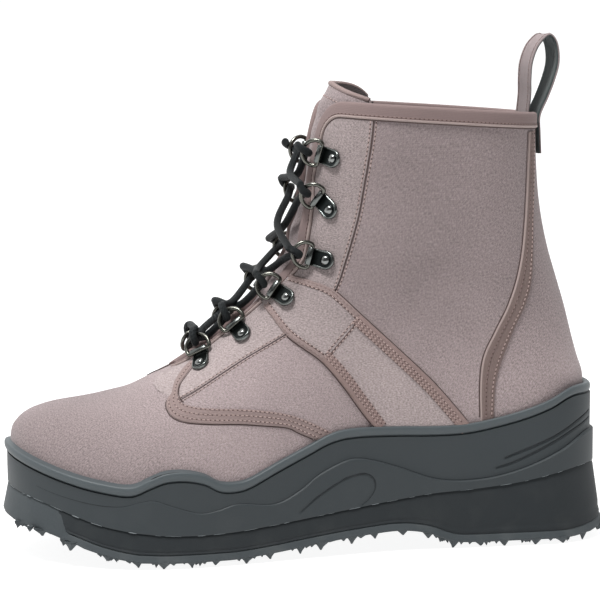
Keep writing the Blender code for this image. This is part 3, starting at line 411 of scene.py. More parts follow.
def side_face(side, line):
    """Points of the creased outer face and their normals, from side view places."""
    step = 0.5 * MM
    x, z = line[..., 0], line[..., 1]
    slope_x = (upper_y(side, x + step, z) - upper_y(side, x - step, z)) / (2 * step)
    slope_z = (upper_y(side, x, z + step) - upper_y(side, x, z - step)) / (2 * step)
    normal = unit(side * np.stack([-slope_x, np.ones_like(slope_x), -slope_z], -1))
    bare = np.stack([x, upper_y(side, x, z), z], -1)
    return bare + relief(bare)[..., None] * normal, normal


def skin_place(side, x, z):
    """Rings and angles of side view places."""
    rings, shares = np.meshgrid(np.linspace(0.01, 1.04, 90), np.linspace(0.02, 0.995, 90), indexing="ij")
    gx, gz = fan_place(rings, shares)
    near = ((gx[..., None] - x) ** 2 + (gz[..., None] - z) ** 2).reshape(-1, len(x)).argmin(0)
    v, s = rings.ravel()[near], shares.ravel()[near]
    for _ in range(8):
        px, pz = fan_place(v, s)
        vx, vz = fan_place(v + 1e-4, s)
        sx, sz = fan_place(v, s + 1e-4)
        a, b, c, d = (vx - px) / 1e-4, (sx - px) / 1e-4, (vz - pz) / 1e-4, (sz - pz) / 1e-4
        det = a * d - b * c
        ex, ez = x - px, z - pz
        v = np.clip(v + (d * ex - b * ez) / det, 0.0, 1.06)
        s = np.clip(s + (a * ez - c * ex) / det, 0.001, 0.999)
    return v, side * np.arccos(1 - 2 * s)


# Mesh helpers
def piece(name, points, faces, finish, uv=None, replaces=(), sharp=38):
    """A mesh piece that rides on the boot, with its finish and the nodes it stands for."""
    mesh = bpy.data.meshes.new(name)
    mesh.from_pydata(np.asarray(points).reshape(-1, 3).tolist(), [], faces)
    if uv is not None:
        mesh.uv_layers.new(name="surface").data.foreach_set("uv", np.asarray(uv, np.float32).ravel())
    bm = bmesh.new()
    bm.from_mesh(mesh)
    bmesh.ops.remove_doubles(bm, verts=bm.verts, dist=1e-7)
    bmesh.ops.recalc_face_normals(bm, faces=bm.faces)
    bm.to_mesh(mesh)
    bm.free()
    for each in finish if isinstance(finish, list) else [finish]:
        mesh.materials.append(each)
    mesh.shade_smooth()
    mesh.set_sharp_from_angle(angle=math.radians(sharp))
    made = shown(name, mesh)
    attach(made, "root")
    if replaces:
        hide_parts(*replaces)
    return made


def shown(name, data):
    made = bpy.data.objects.new(name, data)
    bpy.context.scene.collection.objects.link(made)
    return made


def paint(made, numbers):
    """Gives the first faces the finishes with these numbers, and the rest the first finish."""
    chosen = np.zeros(len(made.data.polygons), np.int32)
    chosen[:len(numbers)] = numbers
    made.data.polygons.foreach_set("material_index", chosen)


def grid_faces(rows, columns, around=False):
    """The row and column of each corner of each face of a grid of points."""
    r, c = np.meshgrid(np.arange(rows - 1), np.arange(columns - (0 if around else 1)), indexing="ij")
    corners = np.stack([r, r, r + 1, r + 1], -1), np.stack([c, c + 1, c + 1, c], -1)
    return [part.reshape(-1, 4) for part in corners]


def joined(rows, count):
    """Faces between rows of corners that go round."""
    r, c = grid_faces(rows, count, around=True)
    return (r * count + c % count).tolist()


def grid_sheet(name, points, finish, replaces=(), thickness=0.0, lining=None, lengths=None):
    """A sheet inside a grid of points, with lengths in metres as its UV."""
    rows, columns = points.shape[:2]
    r, c = grid_faces(rows, columns)
    u, v = lengths or (run_lengths(points, 1), run_lengths(points, 0))
    uv = np.stack([u[r, c], v[r, c]], -1)
    made = piece(name, points, (r * columns + c).tolist(), finish, uv, replaces)
    solid = made.modifiers.new("thickness", "SOLIDIFY")
    solid.thickness = thickness
    solid.offset = -1
    solid.use_even_offset = True
    if lining:
        made.data.materials.append(lining)
        solid.material_offset = 1


def swept(name, loops, finish, replaces=(), closed=False, finish_of=None, sharp=38):
    """Closed sections joined in turn into one solid, capped or joined end to start."""
    loops = np.asarray(loops)
    rows, columns = loops.shape[:2]
    if closed:
        loops = np.concatenate([loops, loops[:1]])
    r, c = grid_faces(len(loops), columns, around=True)
    wrapped = np.concatenate([loops, loops[:, :1]], 1)
    along, across = run_lengths(wrapped, 0), run_lengths(wrapped, 1)
    uv = np.stack([along[r, c], across[r, c]], -1).reshape(-1, 2)
    faces = (r % rows * columns + c % columns).tolist()
    if not closed:
        faces += [[row * columns + j for j in range(columns)] for row in (0, rows - 1)]
        uv = np.concatenate([uv, np.zeros((2 * columns, 2))])
    made = piece(name, loops[:rows], faces, finish, uv, replaces, sharp)
    if finish_of:
        paint(made, finish_of(c[:, 0]))
    return made


def frames_along(points, normals):
    """Unit tangents, and the sideways directions that go with the normals."""
    ahead = unit(np.gradient(points, axis=0))
    return ahead, unit(np.cross(normals, ahead))


def ribbon_loops(points, normals, section):
    """A section of (across, up) places swept along a line lying on a surface."""
    across = frames_along(points, normals)[1]
    section = np.asarray(section)
    return points[:, None] + section[None, :, :1] * across[:, None] + section[None, :, 1:] * normals[:, None]


def evenly(points, pitch, *others, count=None):
    """Points at an even pitch or count along a line, and other arrays read at the same places."""
    run = run_along(points)
    at = np.linspace(0, run[-1], count or max(2, int(run[-1] / pitch) + 1))
    return [np.stack([np.interp(at, run, column) for column in array.T], -1) for array in (points, *others)]


def even_line(line, count):
    return evenly(line, None, count=count)[0]


def circle(count):
    return np.linspace(0, 2 * math.pi, count, endpoint=False)


def round_sections(points, across, up, radius, sides):
    """Round sections at points, in the planes of two directions."""
    turn = circle(sides)[None, :, None]
    return points[:, None] + radius * (np.cos(turn) * across[:, None] + np.sin(turn) * up)


def tube_loops(points, radius, sides):
    """Round sections along a line, turned as little as can be from one to the next."""
    ahead = unit(np.gradient(points, axis=0))
    across = [unit(np.cross(ahead[0], [0.12, 0.3, 1.0]))]
    for forward in ahead[1:]:
        across.append(unit(across[-1] - (across[-1] @ forward) * forward))
    across = np.array(across)
    return round_sections(points, across, np.cross(ahead, across)[:, None], radius, sides)


# Materials
def node(tree, kind, inputs, **settings):
    """A node whose inputs are given as values or as sockets to link."""
    made = tree.nodes.new(kind)
    for key, value in settings.items():
        setattr(made, key, value)
    for key, value in inputs.items():
        if isinstance(value, bpy.types.NodeSocket):
            tree.links.new(value, made.inputs[key])
        else:
            made.inputs[key].default_value = value
    return made.outputs


def linear(colour):
    """A colour given as it looks, 0 to 255, in the renderer's own terms."""
    shares = [part / 255 for part in colour]
    return [share / 12.92 if share <= 0.04045 else ((share + 0.055) / 1.055) ** 2.4 for share in shares]


class Look:
    """A material being made, with short names for the nodes that it uses."""

    def __init__(self, name, roughness, metallic=0.0):
        self.made = bpy.data.materials.new(name)
        self.made.use_nodes = True
        self.tree = self.made.node_tree
        self.inputs = self.tree.nodes["Principled BSDF"].inputs
        self.set("Roughness", roughness)
        self.set("Metallic", metallic)

    def set(self, name, value):
        if isinstance(value, bpy.types.NodeSocket):
            self.tree.links.new(value, self.inputs[name])
        else:
            self.inputs[name].default_value = value

    def sum(self, operation, a, b=0.0, c=None):
        inputs = {0: a, 1: b}
        if c is not None:
            inputs[2] = c
        return node(self.tree, "ShaderNodeMath", inputs, operation=operation)[0]

    def times(self, a, b):
        return self.sum("MULTIPLY", a, b)

    def fit(self, a, b, c):
        """a times b plus c."""
        return self.sum("MULTIPLY_ADD", a, b, c)

    def split(self, where=None):
        """The three parts of the place in the UV, or of another vector."""
        if where is None:
            where = node(self.tree, "ShaderNodeUVMap", {}, uv_map="surface")[0]
        return node(self.tree, "ShaderNodeSeparateXYZ", {0: where})

    def place(self):
        return node(self.tree, "ShaderNodeTexCoord", {})["Object"]

    def noise(self, scale, detail=3.0, where=None):
        inputs = {"Scale": scale, "Detail": detail, "Vector": where or self.place()}
        return node(self.tree, "ShaderNodeTexNoise", inputs)["Fac"]

    def levels(self, value, *limits, **settings):
        """A value brought from one span to another, 0 to 1 if no other is given."""
        inputs = {0: value, **dict(enumerate(limits, 1))}
        return node(self.tree, "ShaderNodeMapRange", inputs, **settings)[0]

    def tint(self, colour, shade, spread, tone=None):
        """Base colour times 1 plus a spread about a shade of 0 to 1."""
        factor = self.fit(shade, 2 * spread, 1 - spread)
        if tone is not None:
            factor = self.times(factor, tone)
        inputs = {0: (*colour,), "Scale": factor}
        scaled = node(self.tree, "ShaderNodeVectorMath", inputs, operation="SCALE")[0]
        self.set("Base Color", scaled)
        return scaled

    def bump(self, height, distance, strength=1.0):
        inputs = {"Height": height, "Distance": distance, "Strength": strength}
        self.set("Normal", node(self.tree, "ShaderNodeBump", inputs)[0])


def painted_light_tone(look):
    """Painted light and shade on the canvas: lighter low down and darker up the shaft, as the light falls
    there, and darker over the toe to take back the key light on its top.
    """
    split = look.split(look.place())
    high = look.levels(split[2], 85 * MM, 145 * MM, 1.16, 0.85, interpolation_type="SMOOTHSTEP")
    front = look.levels(split[0], 170 * MM, 240 * MM, 1.0, 0.74, interpolation_type="SMOOTHSTEP")
    return look.times(high, front)


# Streaks of the twill in a metre
STREAKS_ACROSS, STREAKS_ALONG = 1150.0, 560.0


def woven(name, colour, thread, depth, slant=0.0, spread=0.07, roughness=0.85, sheen=0.12, twill_and_painted_shade=False):
    """Cloth woven along the UV's two directions, in threads of a width and depth in mm."""
    look = Look(name, roughness)
    weight = 0.10 if twill_and_painted_shade else 0.34
    place = look.split()
    wobble = look.noise(260.0, 2.0)
    turn = math.pi / (thread * MM)
    u = look.fit(place[0], turn, look.times(wobble, 2.4))
    v = look.fit(place[1], turn, look.times(wobble, -2.4))
    if slant:
        v = look.fit(u, slant, v)
    weave = look.fit(look.times(look.sum("SINE", u), look.sum("SINE", v)), 0.5, 0.5)
    fibre, broad, specks = look.noise(1500.0, 2.0), look.noise(22.0, 3.0), look.noise(900.0, 2.0)
    shade = look.fit(weave, weight, look.times(fibre, 0.26))
    shade = look.sum("ADD", shade, look.times(broad, 0.20))
    shade = look.sum("ADD", shade, look.times(specks, 0.30))
    height = look.fit(fibre, 0.5, look.times(weave, 3 * weight))
    if twill_and_painted_shade:
        # twill: short slanting streaks of about a thread's width
        down = look.times(look.sum("ADD", place[0], place[1]), STREAKS_ACROSS)
        along = look.times(look.sum("SUBTRACT", place[0], place[1]), STREAKS_ALONG)
        slanting = node(look.tree, "ShaderNodeCombineXYZ", {0: down, 1: along, 2: 0.0})[0]
        streak = look.levels(look.noise(1.0, 2.0, slanting), 0.3, 0.7)
        shade = look.fit(look.sum("SUBTRACT", streak, 0.5), 0.36, shade)
        height = look.fit(streak, 0.6, height)
    # with twill_and_painted_shade the colour also carries painted light and shade: lighter low down, darker
    # up the shaft and over the toe
    look.tint(linear(colour), shade, spread * 2, painted_light_tone(look) if twill_and_painted_shade else None)
    look.bump(height, depth * MM)
    look.set("Roughness", look.fit(specks, 0.2, roughness - 0.1))
    look.set("Sheen Weight", sheen)
    look.set("Sheen Roughness", 0.5)
    look.set("Specular IOR Level", 0.25)
    return look.made


def moulded(name, colour, roughness, spread, dust=0.0, grain=0.06, scale=900.0):
    """Rubber or foam with a fine grain in mm, cloudy tone and a little pale dust low down."""
    look = Look(name, roughness)
    cloud, fine = look.noise(28.0, 4.0), look.noise(scale, 2.0)
    base = look.tint(linear(colour), look.fit(cloud, 0.6, look.times(fine, 0.4)), spread)
    if dust:
        low = look.fit(look.split(look.place())[2], -1 / (45 * MM), 1.0)
        low = node(look.tree, "ShaderNodeClamp", {0: low})[0]
        patches = look.levels(look.noise(60.0, 5.0), 0.5, 0.75)
        amount = look.times(look.times(low, patches), dust)
        mixed_in = node(look.tree, "ShaderNodeMix", {0: amount, 6: base, 7: (0.30, 0.30, 0.28, 1)},
                        data_type="RGBA")
        look.set("Base Color", mixed_in[2])
    look.set("Roughness", look.fit(cloud, 0.25, roughness - 0.12))
    look.bump(fine, grain * MM, 0.6)
    look.set("Specular IOR Level", 0.4)
    return look.made


def metal(name, colour, roughness):
    look = Look(name, roughness, 1.0)
    look.tint(colour, look.noise(300.0, 3.0), 0.16)
    look.set("Roughness", look.fit(look.noise(900.0, 2.0), 0.2, roughness - 0.1))
    look.bump(look.noise(1400.0, 2.0), 0.02 * MM, 0.4)
    return look.made


def braided(name, colour):
    """Cord of small slanting strands, round the UV's second direction."""
    look = Look(name, 0.62)
    place = look.split()
    along = look.times(place[0], 2 * math.pi / (2.2 * MM))
    around = look.times(place[1], 2 * math.pi / (2.98 * MM))
    one, two = (look.sum("SINE", look.sum(way, along, around)) for way in ("ADD", "SUBTRACT"))
    strands = look.fit(look.sum("MAXIMUM", one, two), 0.5, 0.5)
    look.tint(linear(colour), look.fit(strands, 0.7, look.times(look.noise(900.0), 0.3)), 0.55)
    look.bump(strands, 0.30 * MM)
    look.set("Specular IOR Level", 0.3)
    return look.made


# both canvases carry painted light and shade by height and over the toe
CANVAS = woven("canvas", (156, 142, 142), 0.62, 0.20, spread=0.36, twill_and_painted_shade=True)
CANVAS_PALE = woven("canvas_pale", (163, 150, 149), 0.62, 0.20, spread=0.36, twill_and_painted_shade=True)
TAPE = woven("tape", (141, 121, 117), 0.42, 0.12, slant=1.0, spread=0.20, sheen=0.05)
BACK_TAPE = woven("back_tape", (118, 102, 98), 0.42, 0.12, slant=1.0, spread=0.20, sheen=0.05)
HEM = woven("hem", (142, 125, 122), 0.42, 0.12, slant=1.0, spread=0.18, sheen=0.05)
BINDING = woven("binding", (127, 110, 108), 0.42, 0.08, slant=1.0, spread=0.10, sheen=0.05)
WEBBING = woven("webbing", (140, 128, 128), 0.5, 0.12, spread=0.14, sheen=0.05)
PIPING = woven("piping", (158, 142, 138), 0.4, 0.06, spread=0.05)
LINING = woven("lining", (92, 84, 84), 0.9, 0.15, roughness=0.95)
WEBBING_INSIDE = woven("webbing_inside", (72, 80, 80), 0.7, 0.12, roughness=0.9)
INSOLE = woven("insole", (70, 70, 72), 0.8, 0.12, roughness=0.95)
THREAD = moulded("thread", (172, 151, 146), 0.7, 0.35)
THREAD_DARK = moulded("thread_dark", (128, 109, 105), 0.7, 0.25)
# painted shade in the needle holes between stitches
HOLE_SHADE = moulded("needle_hole_shade", (92, 74, 71), 0.9, 0.25)
# painted shadow for thin strips along seams and at the foot of edges
SEAM_SHADOW = moulded("seam_shadow", (84, 70, 68), 0.95, 0.12)
RUBBER = moulded("rubber", (52, 58, 61), 0.6, 0.08, dust=0.05)
# the sidewall's rubber painted lighter for the bead, a painted highlight on its top
BEAD_RUBBER_LIT = moulded("bead_rubber_painted_highlight", (76, 83, 86), 0.5, 0.07)
FOAM = moulded("foam", (36, 41, 44), 0.75, 0.10, dust=0.05, grain=0.1, scale=1400.0)
TREAD = moulded("tread", (63, 69, 72), 0.7, 0.14, dust=0.10, grain=0.12, scale=700.0)
# pale as painted glints on the beads of flash
FLASH_GLINT = moulded("flash_painted_glint", (120, 127, 130), 0.5, 0.25)
GROOVE_SHADOW = moulded("groove_shadow", (36, 40, 43), 0.8, 0.1)
GUNMETAL = metal("gunmetal", (0.15, 0.16, 0.155), 0.26)
GUNMETAL_DEEP = metal("gunmetal_deep", (0.035, 0.042, 0.042), 0.35)
WIRE = metal("wire", (0.13, 0.13, 0.115), 0.26)
RIVET = metal("rivet", (0.24, 0.25, 0.245), 0.20)
CORD = braided("cord", (17, 22, 24))


# Upper
def make_upper():
    """The whole canvas skin, closed over the toe and open down the throat."""
    rings = np.concatenate([
        [-1.0, -0.8, -0.6, -0.4, -0.2, -0.08, -0.004], np.linspace(0.012, THROAT_BASE, 44),
        [0.3765, 0.3785, 0.3815, 0.385, 0.390, 0.396, 0.403, 0.411, 0.42],
        np.linspace(0.43, 0.955, 56), np.linspace(0.96, 1.0, 9)])
    share = np.linspace(-1, 1, 193)
    outer, inner = edge_angles(rings, 1), edge_angles(rings, -1)
    angles = np.where(share > 0, share * outer[:, None], -share * inner[:, None])
    points = skin(rings[:, None], angles)
    closed = rings <= THROAT_BASE
    points[closed, -1] = points[closed, 0]
    grids = rings[:, None] + 0 * angles, angles
    lengths = [between_rows(table, *grids) for table in skin_lengths()]
    grid_sheet("upper", points, CANVAS, ("upper",), UPPER_WALL, LINING, lengths)


def leftward(line):
    """Directions to the left of a side view line."""
    ahead = unit(np.gradient(line, axis=0))
    return np.stack([-ahead[:, 1], ahead[:, 0]], -1)


def beside(line, distance):
    return line + distance * leftward(line)


def side_line(rows, count):
    """A smooth side view line in metres, from rows of shares, as count places."""
    return side_place(*dense(rows, count))


def above_rim(line, clear):
    """The stretch of a side view line that shows above the sidewall's rim."""
    return line[line[:, 1] > rim_line(line[:, 0]) - clear]


def tape_section(width, thickness):
    """Top of a tape from its first edge to its second, as (distance, height), then its underside."""
    edge = 0.55 * thickness
    rim = [(0.0, -0.2 * MM), (0.0, 0.45 * thickness), (0.35 * edge, 0.85 * thickness), (edge, thickness)]
    top = [(width * t, thickness) for t in (0.2, 0.35, 0.5, 0.65, 0.8)]
    return np.array(rim + top + [(width - a, b) for a, b in rim[::-1]])


def between(name, side, first, second, thickness, finish, slot, replaces=()):
    """A tape or panel on the upper's side between two side view lines of equal count."""
    width = np.linalg.norm(second - first, axis=1).mean()
    section = tape_section(width, thickness)
    places = first[:, None] + (section[:, 0] / width)[None, :, None] * (second - first)[:, None]
    face, normal = side_face(side, places)
    swept("%s_%s" % (name, SIDE_NAMES[side]), face + section[None, :, 1:] * normal, finish, replaces)


STITCHES = {1: [], -1: []}
STITCH_PITCH = 2.3 * MM


def shadow_strip(name, points, normals, width):
    """A thin dark strip lying on a surface: painted shadow along a seam or at the foot of an edge."""
    section = [(-0.5 * width, 0.02 * MM), (0.0, 0.08 * MM), (0.5 * width, 0.02 * MM)]
    grid_sheet(name, ribbon_loops(points, normals, section), SEAM_SHADOW, thickness=0.15 * MM)


# painted shadow strip along a side view line on the upper
def side_shadow_strip(name, side, line, width, lift=0.0):
    face, normal = side_face(side, above_rim(line, -1.0 * MM))
    shadow_strip("%s_%s" % (name, SIDE_NAMES[side]), face + lift * normal, normal, width)


def stitch_row(side, points, normals, pale=True, lift=0.0, pitch=STITCH_PITCH):
    """Remembers a row of stitches along a line on a surface."""
    points, normals = evenly(points, pitch / 2, points * 0 + normals)
    normals = unit(normals)
    ahead = frames_along(points, normals)[0]
    kinds = np.arange(len(points)) % 2
    STITCHES[side].append((points + lift * normals, ahead, normals, kinds, pale))


def side_stitches(side, line, lift, pale=True):
    line = above_rim(line, -1.5 * MM)
    if len(line) > 3:
        stitch_row(side, *side_face(side, line), pale, lift)


def capsule(length, radius, sides=6):
    """A stitch lying along X: corners and faces."""
    rows = [(-0.5, 0.35), (-0.36, 0.85), (0.0, 1.0), (0.36, 0.85), (0.5, 0.35)]
    turns = [2 * math.pi * j / sides for j in range(sides)]
    corners = [(along * length, radius * share * math.cos(turn), radius * share * math.sin(turn))
               for along, share in rows for turn in turns]
    last = (len(rows) - 1) * sides
    return np.array(corners), joined(len(rows), sides) + [
        list(range(sides))[::-1], list(range(last, last + sides))]


class Heap:
    """Corners and faces of many small shapes, gathered into one piece."""

    def __init__(self):
        self.corners, self.faces, self.numbers = [], [], []

    def add(self, corners, faces, number=0):
        begin = len(self.corners)
        self.faces += [[begin + i for i in face] for face in faces]
        self.numbers += [number] * len(faces)
        self.corners.extend(corners)


def make_stitches(side):
    """All remembered stitches of one side in one mesh, threads pale or dark, and dark sunk marks between
    them as painted shade in the needle holes.
    """
    thread, faces = capsule(1.35 * MM, 0.32 * MM)
    hole_shade, _ = capsule(0.95 * MM, 0.40 * MM)
    heap = Heap()
    for centres, ahead, normals, kinds, pale in STITCHES[side]:
        across = np.cross(normals, ahead)
        for centre, a, b, n, is_hole_shade in zip(centres, ahead, across, normals, kinds):
            shape, lift, number = (hole_shade, -0.20, 2) if is_hole_shade else (thread, 0.04, 0 if pale else 1)
            heap.add(centre + lift * MM * n + shape @ np.array([a, b, n]), faces, number)
    made = piece("stitching_" + SIDE_NAMES[side], heap.corners, heap.faces,
                 [THREAD, THREAD_DARK, HOLE_SHADE], sharp=80)
    paint(made, heap.numbers)


# Overlays on the sides, as in the solids: both edges of each
STRAP_EDGES = [
    [
        (0.541, 0.535), (0.511, 0.521), (0.48, 0.498), (0.435, 0.426), (0.369, 0.322), (0.321, 0.244),
        (0.285, 0.175), (0.257, 0.118),
    ],
    [
        (0.583, 0.447), (0.554, 0.377), (0.505, 0.314), (0.471, 0.247), (0.443, 0.181), (0.42, 0.129),
    ],
]
VAMP_TAPE_EDGES = [
    [
        (0.6965, 0.294), (0.7085, 0.274), (0.7215, 0.251), (0.727, 0.237), (0.7295, 0.223),
        (0.729, 0.212), (0.726, 0.204), (0.718, 0.198), (0.704, 0.194), (0.683, 0.192), (0.641, 0.19),
        (0.6, 0.184), (0.562, 0.172), (0.53, 0.152), (0.495, 0.122),
    ],
    [
        (0.7028, 0.296), (0.716, 0.277), (0.729, 0.2537), (0.7345, 0.238), (0.739, 0.223),
        (0.7475, 0.208), (0.7495, 0.19), (0.741, 0.17), (0.72, 0.158), (0.685, 0.154), (0.64, 0.152),
        (0.593, 0.144), (0.561, 0.136), (0.541, 0.119), (0.517, 0.1),
    ],
]
BACK_TAPE_EDGES = [
    [
        (0.142, 0.9), (0.144, 0.78), (0.148, 0.68), (0.15, 0.6), (0.154, 0.517), (0.165, 0.451),
        (0.186, 0.38), (0.205, 0.297), (0.215, 0.231), (0.218, 0.134),
    ],
    [
        (0.156, 0.9), (0.16, 0.76), (0.165, 0.66), (0.171, 0.585), (0.181, 0.51), (0.194, 0.447),
        (0.215, 0.378), (0.234, 0.305), (0.239, 0.231), (0.238, 0.127),
    ],
]
# The seam at the rear of the eyestay, bottom to top
EYESTAY_SEAM = [
    (0.731, 0.207), (0.695, 0.241), (0.626, 0.313), (0.558, 0.38), (0.505, 0.445), (0.478, 0.5),
    (0.46, 0.585), (0.444, 0.683), (0.4336, 0.778), (0.4217, 0.905), (0.4174, 0.985),
]
RIM_HIDDEN = 1.3 * MM


def to_rim(line):
    """Carries a side view line on, straight, until it is hidden behind the sidewall's rim."""
    ahead = unit(line[-1] - line[-4])
    line = np.concatenate([line, [line[-1] + ahead * step * MM for step in range(1, 16)]])
    hidden = line[:, 1] < rim_line(line[:, 0]) - RIM_HIDDEN
    return line[:(hidden.argmax() if hidden.any() else len(line) - 1) + 1]


STRAP_THICKNESS = 1.5 * MM
# Ends of the seam across the strap, on its upper and lower edge
CROSS_SEAM = ((0.437, 0.430), (0.501, 0.307))
LEG_WIDTH = 6.4 * MM
BOUND_WIDTH = 3.3 * MM


def make_strap(side):
    """Ankle strap: canvas, bound edges above the cross seam and stitched tapes below it."""
    edges = [even_line(to_rim(side_line(rows, 120)), 160) for rows in STRAP_EDGES]
    between("ankle_strap", side, *edges, STRAP_THICKNESS, CANVAS_PALE, "canvas",
            ("ankle_strap_" + SIDE_NAMES[side],))
    ends = []
    for line, hand, label, place in zip(edges, (1, -1), ("upper", "lower"), CROSS_SEAM):
        cross = int(np.linalg.norm(line - side_place(*place), axis=1).argmin())
        ends.append(line[cross])
        bound, leg = line[:cross + 2], line[cross - 2:]
        for part, stretch, width, thick, finish in (
                ("bound", bound, BOUND_WIDTH, 0.25 * MM, HEM), ("leg", leg, LEG_WIDTH, 0.5 * MM, TAPE)):
            between("strap_%s_%s" % (label, part), side, beside(stretch, -0.25 * MM * hand),
                    beside(stretch, width * hand), STRAP_THICKNESS + thick, finish, "tape")
        for stretch, inset, lift, pale in (
                (bound, BOUND_WIDTH - 0.4 * MM, 0.25 * MM, True), (bound, 1.0 * MM, 0.10 * MM, False),
                (leg, 2.4 * MM, 0.5 * MM, True), (leg, 4.0 * MM, 0.5 * MM, True),
                (leg, LEG_WIDTH - 0.8 * MM, 0.5 * MM, True)):
            side_stitches(side, beside(stretch, inset * hand), STRAP_THICKNESS + lift, pale)
        # painted shadow along the foot of the strap's edge
        side_shadow_strip("strap_foot_" + label, side, beside(line, -0.5 * MM * hand), 0.6 * MM)
    # painted shadow along the seam across the strap
    share = np.linspace(0.13, 0.87, 40)[:, None]
    row = ends[0] + share * (ends[1] - ends[0])
    side_shadow_strip("strap_cross", side, row, 0.9 * MM, STRAP_THICKNESS + 0.05 * MM)
    for step in (-0.3 * MM, 1.9 * MM):
        side_stitches(side, beside(row, step), STRAP_THICKNESS + 0.1 * MM)


EYESTAY_THICKNESS = 0.5 * MM
VAMP_TAPE_THICKNESS = 0.9 * MM
BACK_TAPE_THICKNESS = 1.0 * MM


def make_vamp_tape(side):
    """Tape over the seam of vamp and quarter, with three rows of stitches."""
    more = np.linspace(0, 3.5, 10)[1:, None]
    first, second = (np.concatenate([line, line[-1] + more * (line[-1] - line[-5])])
                     for line in (side_line(rows, 160) for rows in VAMP_TAPE_EDGES))
    between("vamp_tape", side, second, first, VAMP_TAPE_THICKNESS, HEM, "tape",
            ("vamp_tape_" + SIDE_NAMES[side],))
    wide = len(first) // 3
    for share, begin in ((0.22, wide), (0.56, 0), (0.90, wide)):
        side_stitches(side, (second + share * (first - second))[begin:], VAMP_TAPE_THICKNESS)
    # painted shadows at the foot of the tape's lower edge and along its upper arc
    side_shadow_strip("vamp_tape_foot", side, (second + 0.05 * (second - first))[wide:], 0.6 * MM)
    arc = (first + 0.12 * (first - second))[:wide + 14]
    side_shadow_strip("vamp_tape_arc", side, arc, 0.55 * MM, EYESTAY_THICKNESS)


def make_back_tape(side):
    """Tape down the side of the back panel, with light piping along its front edge."""
    name = SIDE_NAMES[side]
    drop = np.linspace(0, 7 * MM, 12)[1:, None] * np.array([[0.0, -1.0]])
    rise = np.linspace(4.5 * MM, 0, 5)[:-1, None] * np.array([[-0.02, 1.0]])
    rear, front = (np.concatenate([line[0] + rise, line, line[-1] + drop])
                   for line in (side_line(rows, 150) for rows in BACK_TAPE_EDGES))
    between("back_tape", side, front, rear, BACK_TAPE_THICKNESS, BACK_TAPE, "tape", ("back_tape_" + name,))
    for share in (0.34, 0.80):
        side_stitches(side, front + share * (rear - front), BACK_TAPE_THICKNESS, share > 0.5)
    face, normal = side_face(side, front)
    swept("back_piping_" + name, tube_loops(face + normal * 0.30 * MM, 0.65 * MM, 10), PIPING)
    # painted shadow in the seam beside the piping
    seam = beside(front, 0.95 * MM)
    side_shadow_strip("back_seam_shadow", side, seam if seam[40, 0] > front[40, 0] else beside(front, -0.95 * MM), 0.7 * MM)


EYESTAY_ROUND = 0.16
SEAM_SPLIT_Z = 134 * MM


def make_eyestay(side):
    """Panel between the throat's edge and the long double seam, with a rounded lower end."""
    count = 170
    seam = even_line(side_line(EYESTAY_SEAM, 200), count)
    ring_seam, angle_seam = skin_place(side, seam[:, 0], seam[:, 1])
    ring_edge = np.linspace(0.395, 0.985, count)
    angle_edge = edge_angles(ring_edge, side)
    section = tape_section(1.0, EYESTAY_THICKNESS)
    share = np.clip(section[:, 0], 0, 1)
    share = np.concatenate([share[:1], share[1:-1] * 0.98 + 0.01, share[-1:]])
    # distance runs from the seam, share 0, to the throat, share 1
    ring = ring_seam[:, None] + share * (ring_edge - ring_seam)[:, None]
    angle = angle_seam[:, None] + share * (angle_edge - angle_seam)[:, None]
    start_off = np.clip(1 - np.linspace(0, 1, count) / EYESTAY_ROUND, 0, 1)[:, None] ** 2
    angle = angle + side * 0.20 * start_off * np.sin(math.pi * share)
    loops = skin(ring, angle, np.broadcast_to(section[:, 1], ring.shape))
    swept("eyestay_" + SIDE_NAMES[side], loops, CANVAS_PALE)
    apart = np.interp(seam[:, 1], [130 * MM, 150 * MM], [0.75 * MM, 1.3 * MM])[:, None]
    across = leftward(seam)
    side_stitches(side, seam - apart * across, EYESTAY_THICKNESS)
    side_stitches(side, seam + apart * across, 0.05 * MM)
    # painted shade along the seam, in a broader strip higher up
    split = int(np.abs(seam[:, 1] - SEAM_SPLIT_Z).argmin())
    side_shadow_strip("eyestay_seam_shadow_low", side, seam[:split], 0.45 * MM, 0.05 * MM)
    side_shadow_strip("eyestay_seam_shadow_high", side, seam[split - 6:], 1.1 * MM, 0.05 * MM)


# Bindings folded over the canvas edges
BINDING_WIDTH = 6.4 * MM
EYESTAY_BINDING_WIDTH = 3.6 * MM
BINDING_THICKNESS = 1.0 * MM
STRAP_TOP = 0.668
STRAP_FOOT = 0.555
BINDING_END = 0.381
LOOP_WIDTH = 22 * MM


def binding_section(width):
    """Distance in from the canvas edge and height outside it, round the fold."""
    t = BINDING_THICKNESS
    middle = -UPPER_WALL / 2
    radius = UPPER_WALL / 2 + t
    # a welt along the inner edge, then the flat outside
    rows = [(width, -0.2 * MM)]
    rows += [(width - inset * MM, height * t) for inset, height in (
        (0, 0.5), (0.3, 1.12), (0.8, 1.32), (1.3, 1.12), (1.7, 0.92))]
    rows += [(0.5 * width, 1.02 * t), (0.2 * width, t)]
    for degrees in range(0, 181, 20):
        turn = math.radians(degrees)
        rows.append((-0.2 * MM - 0.8 * radius * math.sin(turn), middle + radius * math.cos(turn)))
    rows += [(0.5 * width, middle - radius), (width - 0.4 * MM, middle - radius),
             (width, middle - radius + 0.5 * t), (width, middle - radius + t + 0.2 * MM)]
    return rows


